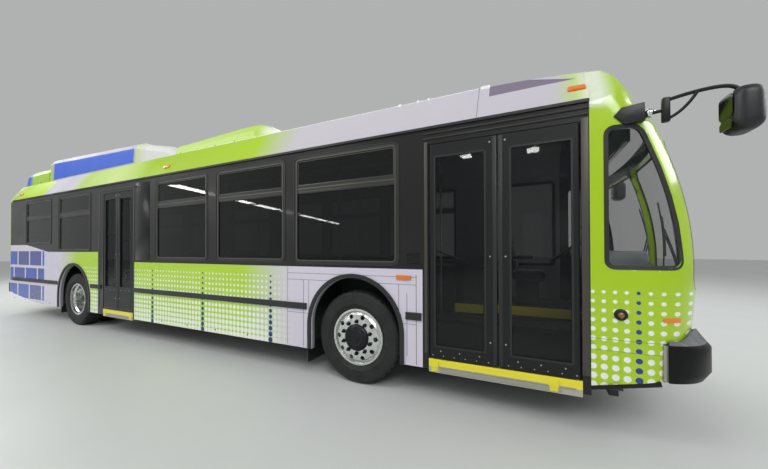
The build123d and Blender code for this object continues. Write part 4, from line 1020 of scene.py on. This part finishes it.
# %% [markdown]
# ## Wipers
# Two long blades park upright beside the middle post. Blade and arm follow points found on the glass by
# rays, a little above it, and are swept as tubes.

# %% Wipers
AHEAD = 7.5


def on_nose(y, z, lift=0.0):
    return hit(nose, (AHEAD, y, z), (-1, 0, 0))[0] + Vector((lift, 0, 0))


blades, arms = new(2)
heights = [1.22 + 0.13 * i for i in range(6)]
bent_tube(blades, [on_nose(0.17 + 0.02 * i, z, 0.011) for i, z in enumerate(heights)], 0.007)
bent_tube(arms, [on_nose(0.18 + 0.016 * i, z, 0.026) for i, z in enumerate(heights[1:5])], 0.006)
for offset in (0.0, 0.07):
    bent_tube(arms, [on_nose(0.60 + offset, 1.085, 0.02), on_nose(0.52 + offset * 0.6, 1.20, 0.045),
                     on_nose(0.21, 1.545 + offset, 0.03)], 0.007)
    base = on_nose(0.60 + offset, 1.085)
    rod(arms, base - Vector((0.004, 0, 0)), base + Vector((0.034, 0, 0)), 0.019, 16, 0.014)
piece("wiper_blades", blades, RUBBER, pair=True)
piece("wiper_arms", arms, POWDER, pair=True)

# %% [markdown]
# ## Lamps
# The CAD lamps are one node of plain lenses, so their material picks its colour by station: clear at the
# front, red at the back and amber on the sides. Chromed bezels, fluted lenses and the corner signals are
# added over them.

# %% Lens material
def lens_finish():
    material = finish("moulded acrylic lenses", "#ffffff", 0.16, shade=0.12, patch=0.02, grain=9, depth=0.5,
                      Coat_Weight=0.6)
    x, y, z = places(material.node_tree)
    colour = over(x > 2.505, "#e0760f", "#d5dade")
    colour = over(x.between(2.22, 2.33), colour, "#8d5c16")
    return wear_colour(material, over(x < -9.295, colour, "#a3120f"))


shaped["lamps"].material_slots[0].material = lens_finish()

# %% Bezels, lenses and reflectors
lamp_faces = surface_of("lamps", "front_mask", "rear_cap")
bezels, lenses, signals, rings = new(4)
for y in (0.98, 0.79):
    spot = hit(lamp_faces, (AHEAD, y, 0.93), (-1, 0, 0))[0]
    turned(bezels, [(0.072, 0.000), (0.074, 0.008), (0.078, 0.011), (0.083, 0.009), (0.085, 0.002),
                    (0.0855, -0.020)], spot, (1, 0, 0), 40)
    turned(lenses, [(0.0, 0.012), (0.03, 0.011), (0.055, 0.008), (0.072, 0.003), (0.078, -0.001)], spot,
           (1, 0, 0), 40)
for z in (1.68, 1.84, 2.00):
    turned(bezels, [(0.050, 0.001), (0.054, 0.007), (0.062, 0.008), (0.069, 0.003), (0.071, -0.012)],
           (-6.159, 1.08, z), (-1, 0, 0), 32)
turned(rings, [(0.021, 0.013), (0.029, 0.017), (0.038, 0.012), (0.043, 0.001), (0.043, -0.004)],
       (station(2.276), SIDE, 0.939), (0, -1, 0), 32)
corner_place = Matrix.Translation((station(2.578), -1.6, 0.918)) @ Matrix.Rotation(math.pi / 2, 4, "X")
bmesh.ops.create_grid(signals, x_segments=10, y_segments=2, size=0.5,
                      matrix=corner_place @ Matrix.Diagonal((0.110, 0.028, 1, 1)))
lay_on(signals.verts, nose, (0, 1, 0), 0.007)
bmesh.ops.solidify(signals, geom=list(signals.faces), thickness=0.008)

# %% Bumper ends, mask foot and marker lamps
# The end of the bumper is closed by a grey strip, and a black rail runs along the foot of the mask
ends, foot_rail, markers = new(3)
block(ends, (station(2.520), -1.2815, 0.486), (station(2.556), -1.2665, 0.742), 0.003,
      Matrix.Rotation(0.30, 4, "Z"))
block(foot_rail, (station(2.085), -1.285, 0.402), (station(2.515), -1.255, 0.440), 0.004,
      Matrix.Rotation(-0.222, 4, "Y"))
roof = surface_of("front_mask", *ROOF_NODES)
for x in (2.02, -3.38, -8.9):
    spot, normal = hit(roof, (station(x), -2.0, 2.70), (0, 1, 0))
    tilt = turn_to(normal, (0, -1, 0))
    slab(markers, spot + tilt @ Vector((0, -0.004, 0)), (0.062, 0.014, 0.027), 0.010, tilt)
for y in (-0.55, -0.12, 0.12, 0.55):
    spot, normal = hit(nose, (AHEAD, y, 2.80), (-1, 0, 0))
    if spot:
        dome(markers, spot, turn_to(normal, (1, 0, 0)), (0.012, 0.055, 0.020), 16, 8)
pieces((bezels, "lamp_bezels", CHROME), (lenses, "headlamp_lenses", CLEAR), (signals, "corner_reflectors", AMBER),
       (rings, "marker_rings", OXIDE), (ends, "bumper_end_strips", MILL), (foot_rail, "mask_foot_rails", POWDER),
       (markers, "marker_lamps", AMBER), pair=True)

# %% [markdown]
# ## Mirrors, sign and plates
# The CAD mirror is one plain node, rebuilt here with a bracket, two arms, a chromed ball and a rounder head
# that holds a tall flat glass over a small convex one. Behind the sign window hangs a dark display that is
# switched off, and the plates at both ends are blank.

# %% Mirrors
brackets, tubes, heads, balls, glass = new(5)
outline = [(2.240, 2.400), (2.290, 2.455), (2.425, 2.470), (2.430, 2.340), (2.310, 2.325)]
face = brackets.faces.new([brackets.verts.new((station(x), -1.306, z)) for x, z in outline])
thicken(brackets, [face], (0, 0.070, 0))
rounded(brackets, [e for e in brackets.edges if e.calc_length() > 0.03], 0.006)
ball = Vector((station(2.462), -1.268, 2.392))
rod(balls, (station(2.415), -1.235, 2.400), (station(2.456), -1.262, 2.392), 0.016, 16)
dome(balls, ball, Matrix.Identity(4), (0.034, 0.034, 0.034), 20, 12)
rod(tubes, ball, (station(2.529), -1.335, 2.376), 0.011)
slab(tubes, (station(2.529), -1.335, 2.376), (0.022, 0.020, 0.084), 0.008)
for points, radius in (
        (((2.529, -1.335, 2.440), (2.668, -1.375, 2.462), (2.862, -1.415, 2.445), (2.862, -1.418, 2.380)), 0.012),
        (((2.529, -1.335, 2.310), (2.615, -1.358, 2.335), (2.680, -1.378, 2.455)), 0.010)):
    bent_tube(tubes, [(station(x), y, z) for x, y, z in points], radius)
mirror_x = 5.9875
head, half = Vector((station(2.866), -1.425, 2.268)), Vector((0.0750, 0.1075, 0.136))
block(heads, head - half, head + half, 0.064, segments=6)
# The mirror glass is painted dark, as a painted reflection
plate(glass, mirror_x, -1.498, -1.352, 2.228, 2.370, 0.030, -0.0035)
plate(glass, mirror_x, -1.490, -1.360, 2.160, 2.214, 0.018, -0.0045)
piece("mirror_brackets", brackets, PLASTIC, replace=["mirrors"], pair=True)
pieces((tubes, "mirror_arms", POWDER), (heads, "mirror_heads", PLASTIC), (balls, "mirror_balls", CHROME),
       (glass, "mirror_glass", DARK_MIRROR), pair=True)

# %% Sign and plates
display, plates, screws = new(3)
block(display, (5.60, -0.80, 2.345), (5.66, 0.80, 2.575), 0.006)
front_x = hit(surface_of("front_bumper"), (AHEAD, 0, 0.62), (-1, 0, 0))[0].x
plate(plates, front_x - 0.002, -0.155, 0.155, 0.545, 0.695, 0.012, 0.005)
plate(plates, -6.201, -0.155, 0.155, 0.505, 0.655, 0.012, -0.005)
for y in (-0.105, 0.105):
    bolt(screws, (front_x + 0.003, y, 0.672), (1, 0, 0), 0.007, 0.004)
    bolt(screws, (-6.206, y, 0.634), (-1, 0, 0), 0.007, 0.004)
pieces((display, "sign_display", GLOSS), (plates, "blank_plates", WHITE), (screws, "plate_screws", CHROME))

# %% [markdown]
# ## Back of the bus
# The engine door breathes through pressed louvres and is held by two latches. Above it is a black panel with
# the high brake lamp, and a blank route sign at the top.

# %% Rear details
louvres, grips, panel, brake = new(4)
for row in range(9):
    for y in (-0.40, 0.40):
        slab(louvres, (-6.149, y, 0.86 + row * 0.042), (0.007, 0.30, 0.013), 0.003,
             Matrix.Rotation(math.radians(-28), 4, "Y"))
for y in (-0.62, 0.62):
    plate(grips, BACK_X, y - 0.055, y + 0.055, 1.345, 1.405, 0.012, -0.006)
    slab(grips, (-6.157, y, 1.389), (0.007, 0.035, 0.007), 0.004)
plate(panel, BACK_X, -0.86, 0.86, 1.70, 2.46, 0.06, -0.006)
plate(panel, BACK_X, -0.40, 0.40, 2.56, 2.80, 0.03, -0.006)
plate(brake, -6.150, -0.22, 0.22, 1.615, 1.655, 0.015, -0.010)
for y in (-0.74, 0.74):
    plate(brake, BACK_X, y - 0.045, y + 0.045, 0.60, 0.66, 0.010, -0.008)
pieces((louvres, "engine_door_louvres", POWDER), (grips, "engine_door_latches", CHROME), body="engine_door")
pieces((panel, "rear_black_panel", GLOSS), (brake, "brake_lamp", RED))

# %% [markdown]
# ## Driver's seat
# The seat has three foam cushions under black woven cloth: a crowned seat pad, a tall back pad that tilts
# back ten degrees and a head pad. Each starts as a rounded block a little smaller than the real pad, is
# remeshed to small squares and blown up by a short cloth simulation, so that its sides pull in between its
# corners. Piping is added after that, because the remesh would erase it.

# %% Cloth finish
def woven():
    """Flat-woven wool moquette: two threads a little over a millimetre apart, drawn at four to show."""
    material = finish("flat-woven wool moquette", "#2b2f36", 0.85, shade=0.25, patch=0.05, grain=5, depth=0.6,
                      Sheen_Weight=0.5, Sheen_Roughness=0.5)
    tree = material.node_tree
    place = Field(tree, "ShaderNodeTexCoord", output="Object")
    bump = next(n for n in tree.nodes if n.type == "BUMP")
    threads = []
    for turn in (0.0, math.pi / 2):
        spun = Field(tree, "ShaderNodeMapping", {"Vector": place, "Rotation": (0, turn, turn)})
        threads.append(Field(tree, "ShaderNodeTexWave", {"Vector": spun, "Scale": 1 / (0.004 * 2 * math.pi) * 2},
                             "Fac", bands_direction="X"))
    join(tree, Normal=Field(tree, "ShaderNodeBump", {"Height": threads[0] | threads[1], "Distance": 0.0008,
                                                     "Normal": bump.outputs[0]}))
    return material


MOQUETTE = woven()


# %% Cushions
def bake(made):
    """Replaces an object's mesh by what its modifiers make of it."""
    graph = bpy.context.evaluated_depsgraph_get()
    result = bpy.data.meshes.new_from_object(made.evaluated_get(graph), depsgraph=graph)
    old = made.data
    made.modifiers.clear()
    made.data = result
    bpy.data.meshes.remove(old)


def cushion(name, centre, size, tilt, cap=0.022):
    """A padded block: rounded, remeshed, swollen by cloth pressure, each point moved by cap at most."""
    bm = bmesh.new()
    half = Vector(size) / 2 - Vector((0.012, 0.012, 0.012))
    block(bm, -half, half, 0.030)
    bmesh.ops.transform(bm, matrix=Matrix.Translation(centre) @ Matrix.Rotation(tilt, 4, "Y"), verts=bm.verts)
    bmesh.ops.recalc_face_normals(bm, faces=bm.faces)
    mesh = bpy.data.meshes.new(name)
    bm.to_mesh(mesh)
    bm.free()
    pad = bpy.data.objects.new(name, mesh)
    scene.collection.objects.link(pad)
    remesh = pad.modifiers.new("remesh", "REMESH")
    remesh.mode = "VOXEL"
    remesh.voxel_size = 0.012
    bake(pad)
    rest = [v.co.copy() for v in pad.data.vertices]
    cloth = pad.modifiers.new("cloth", "CLOTH")
    for setting, value in (("use_pressure", True), ("uniform_pressure_force", 4.0), ("tension_stiffness", 20),
                           ("compression_stiffness", 20), ("bending_stiffness", 2)):
        setattr(cloth.settings, setting, value)
    cloth.settings.effector_weights.gravity = 0.0
    cloth.point_cache.frame_start, cloth.point_cache.frame_end = 1, 20
    for frame_number in range(1, 21):
        scene.frame_set(frame_number)
    bake(pad)
    for vertex, old in zip(pad.data.vertices, rest):
        way = vertex.co - old
        if way.length > cap:
            vertex.co = old + way.normalized() * cap
    scene.frame_set(1)
    return pad


def dress(pad, seams):
    """Sewn channels: a narrow groove where a point lies near a seam plane, then one subdivision."""
    for vertex in pad.data.vertices:
        for normal, offset, depth in seams:
            away = abs(vertex.co.dot(Vector(normal)) - offset)
            if away < 0.016:
                vertex.co -= vertex.normal * depth * (1 - away / 0.016) ** 2
    soft = pad.modifiers.new("soft", "SUBSURF")
    soft.levels = soft.render_levels = 1
    pad.data.materials.clear()
    pad.data.materials.append(MOQUETTE)
    pad.data.shade_smooth()
    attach(pad, "bus_body")


SEAT_Y = 0.710
lean = math.radians(-10)
up = Vector((math.sin(lean), 0, math.cos(lean)))
across, along = (0, 1, 0), (1, 0, 0)
seat_pad = cushion("driver_seat_pad", (station(1.660), SEAT_Y, 1.060), (0.48, 0.50, 0.13), 0.0)
dress(seat_pad, [(across, 0.56, 0.008), (across, 0.86, 0.008), (along, station(1.81), 0.007)])
back_pad = cushion("driver_back_pad", (station(1.400), SEAT_Y, 1.460), (0.12, 0.48, 0.72), lean)
dress(back_pad, [(across, 0.57, 0.008), (across, 0.85, 0.008)]
      + [(up, up.dot((station(1.40), 0.71, z)), 0.007) for z in (1.60, 1.32)])
head_pad = cushion("driver_head_pad", (station(1.320), SEAT_Y, 1.895), (0.09, 0.28, 0.17), 0.0, 0.012)
dress(head_pad, [])
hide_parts("driver_seat")
print("seat pads", [len(p.data.vertices) for p in (seat_pad, back_pad, head_pad)])

# %% Piping and shell of the driver's seat
piping, shell = new(2)
corners = rectangle(station(1.435), station(1.885), 0.475, 0.945)
for z in (1.018, 1.102):
    for (x1, y1), (x2, y2) in zip(corners, corners[1:] + corners[:1]):
        middle = ((x1 + x2) / 2, (y1 + y2) / 2)
        bent_tube(piping, [(x1 + (middle[0] - x1) * 0.1, y1 + (middle[1] - y1) * 0.1, z), (*middle, z),
                           (x2 + (middle[0] - x2) * 0.1, y2 + (middle[1] - y2) * 0.1, z)], 0.004, 3)
block(shell, (station(1.320), 0.500, 1.150), (station(1.342), 0.920, 1.770), 0.010, Matrix.Rotation(lean, 4, "Y"))
for y in (0.645, 0.775):
    rod(shell, (station(1.350), y, 1.740), (station(1.315), y, 1.87), 0.008)
for y in (0.440, 0.980):
    rod(shell, (station(1.41), y, 1.07), (station(1.41), y, 1.31), 0.012)
    block(shell, (station(1.40), y - 0.026, 1.295), (station(1.71), y + 0.026, 1.330), 0.012)
    rod(shell, (station(1.41), SEAT_Y + (y - SEAT_Y) * 0.8, 1.07), (station(1.41), y, 1.07), 0.012)
piece("seat_piping", piping, PIPING)
piece("driver_seat_shell", shell, PLASTIC)

# %% [markdown]
# ## Passenger seats
# City bus seats are hard moulded shells with a raised insert on seat and back, and a steel grab handle across
# the top of each pair. Inserts are rounded plates laid on the CAD shells, handles are bent tubes.

# %% Seat inserts and handles
# Pairs of seats on each side: place from the front axle and height of the seat
LOW_SEAT = 0.830
RIGHT_SEATS = [(-1.350, LOW_SEAT), (-2.150, LOW_SEAT), (-2.950, LOW_SEAT), (-6.500, 1.255), (-7.450, 1.220),
               (-8.650, 1.220)]
LEFT_SEATS = RIGHT_SEATS + [(-3.750, LOW_SEAT), (-4.550, LOW_SEAT)]
inserts, handles = new(2)
slope = Matrix.Rotation(-math.atan2(0.110, 0.540), 4, "Y")
for (side, word), table in zip(SIDES, (RIGHT_SEATS, LEFT_SEATS)):
    for place, seat_z in table:
        x = station(place)
        for y in (0.545, 0.985):
            slab(inserts, (x + 0.2175, side * y, seat_z + 0.004), (0.1875, 0.180, 0.008), 0.006)
            slab(inserts, (x - 0.053, side * y, seat_z + 0.270), (0.009, 0.180, 0.210), 0.007, slope)
        path = [(-0.130, 0.400, 0.495), (-0.135, 0.400, 0.570), (-0.136, 0.460, 0.577), (-0.136, 1.070, 0.577),
                (-0.135, 1.130, 0.570), (-0.130, 1.130, 0.495)]
        bent_tube(handles, [(x + back, side * y, seat_z + height) for back, y, height in path], 0.013, 4)
piece("seat_inserts", inserts, INSERT)
piece("seat_handles", handles, YELLOW)

# %% [markdown]
# ## Dashboard and ceiling
# Seen through the quarter window: an instrument hood with dials, switch rows, a padded top by the door, and
# along the ceiling two rows of lamp covers. The dials are plain rings and carry no writing.

# %% Dashboard
hood, dials, dial_rings, switches, pad, column, boss = new(7)
block(hood, (5.545, 0.430, 1.295), (5.745, 0.990, 1.455), 0.030, Matrix.Rotation(math.radians(-12), 4, "Y"))
face_turn = Vector((-1, 0, 0.25)).normalized()
for y, radius in ((0.56, 0.040), (0.655, 0.052), (0.775, 0.052), (0.875, 0.040)):
    spot = Vector((5.533, y, 1.382))
    turned(dials, [(0.0, 0.002), (radius * 0.95, 0.002), (radius * 0.97, 0.0)], spot, face_turn, 24)
    turned(dial_rings, [(radius * 0.94, 0.001), (radius * 0.97, 0.006), (radius * 1.04, 0.006),
                        (radius * 1.08, -0.002)],
           spot, face_turn, 24)
for row in range(2):
    for place in range(9):
        slab(switches, (5.600 - row * 0.045, 0.06 + place * 0.036, 1.328), (0.013, 0.011, 0.010), 0.003)
block(pad, (5.475, -0.880, 1.270), (5.770, 0.400, 1.405), 0.050)
rod(column, (5.345, SEAT_Y, 1.360), (5.490, SEAT_Y, 1.153), 0.045, 24, 0.060)
wheel_turn = math.radians(-35)
turned(boss, [(0.0, 0.030), (0.045, 0.028), (0.072, 0.016), (0.078, 0.0)], (5.325, SEAT_Y, 1.400),
       (math.sin(wheel_turn), 0, math.cos(wheel_turn)), 32)
pieces((hood, "instrument_hood", PLASTIC), (dials, "dial_faces", GLOSS), (dial_rings, "dial_rings", CHROME),
       (switches, "dash_switches", PLASTIC), (pad, "dashboard_pad", DASH), (column, "steering_column", PLASTIC),
       (boss, "horn_pad", PLASTIC))

# %% Ceiling lamps and step nosings
covers, steps = new(2)
ceiling = surface_of(*ROOF_NODES)
for index in range(9):
    for side, word in SIDES:
        spot = hit(ceiling, (-5.10 + index * 1.12, side * 0.72, 2.0), (0, 0, 1))[0]
        if spot:
            slab(covers, spot - Vector((0, 0, 0.0155)), (0.50, 0.09, 0.0195), 0.012)
for x, z in ((-2.040, 0.78275), (-4.940, 1.13275)):
    slab(steps, (x, 0, z), (0.020, 0.500, 0.01075), 0.003)
piece("ceiling_lamp_covers", covers, WHITE)
piece("step_nosings", steps, YELLOW)

# %% [markdown]
# ## Roof equipment
# On top sit the radiator fans of the tail fairing under wire guards, pressed ribs on the hatch lids, and
# bolts along the lower edge of the battery fairing. Rays from above and from the side find the surfaces.

# %% Roof details
fans, heads = new(2)
tail = surface_of("tail_fairing")
for y in (-0.45, 0.45):
    spot = hit(tail, (-5.50, y, 4), (0, 0, -1))[0]
    turned(fans, [(0.245, -0.004), (0.247, 0.014), (0.262, 0.018), (0.275, 0.010), (0.278, -0.010)], spot,
           (0, 0, 1), 48)
    turned(fans, [(0.0, 0.012), (0.050, 0.012), (0.056, 0.004)], spot, (0, 0, 1), 24)
    for radius in (0.10, 0.15, 0.20):
        turned(fans, [(radius - 0.004, 0.010), (radius, 0.014), (radius + 0.004, 0.010), (radius, 0.006),
                      (radius - 0.004, 0.010)], spot, (0, 0, 1), 40)
    for index in range(8):
        angle = math.tau * index / 8
        arm, lifted = Vector((math.cos(angle), math.sin(angle), 0)), spot + Vector((0, 0, 0.010))
        rod(fans, lifted + arm * 0.05, lifted + arm * 0.25, 0.004, 6)
piece("fan_guards", fans, POWDER)
for name, middle in (("hatch_front", station(0.900)), ("hatch_rear", station(-0.700))):
    ribs = bmesh.new()
    for offset in (-0.18, -0.06, 0.06, 0.18):
        slab(ribs, (middle, offset, 3.133), (0.24, 0.016, 0.005), 0.004)
    piece(f"{name}_ribs", ribs, WHITE, name)
fairings = surface_of("battery_fairing", "side_fairing", "tail_fairing")
for index in range(18):
    spot, normal = hit(fairings, (station(-8.90) + index * 0.42, -2.0, 2.985), (0, 1, 0))
    if spot:
        bolt(heads, spot, normal, 0.012, 0.006)
piece("fairing_bolts", heads, OXIDE, pair=True)

# %% [markdown]
# ## Under the floor
# Two air tanks hang beside the frame behind the rear axle, with their drain lines.

# %% Air tanks
TANK = [(0.060, -0.39), (0.105, -0.36), (0.118, -0.32)]
tanks, lines = new(2)
for y in (-0.80, 0.80):
    turned(tanks, [(0.0, -0.40), *TANK, (0.120, 0.32), (0.105, 0.36), (0.060, 0.39), (0.0, 0.40)],
           (-4.35, y, 0.600), (1, 0, 0), 32)
    for x in (-4.55, -4.15):
        slab(tanks, (x, y, 0.7335), (0.015, 0.020, 0.0185), 0.003)
    bent_tube(lines, [(-3.96, y, 0.60), (-3.90, y, 0.60), (-3.86, y, 0.66), (-3.86, y, 0.74)], 0.007)
piece("air_tanks", tanks, CHASSIS)
piece("air_lines", lines, OXIDE)
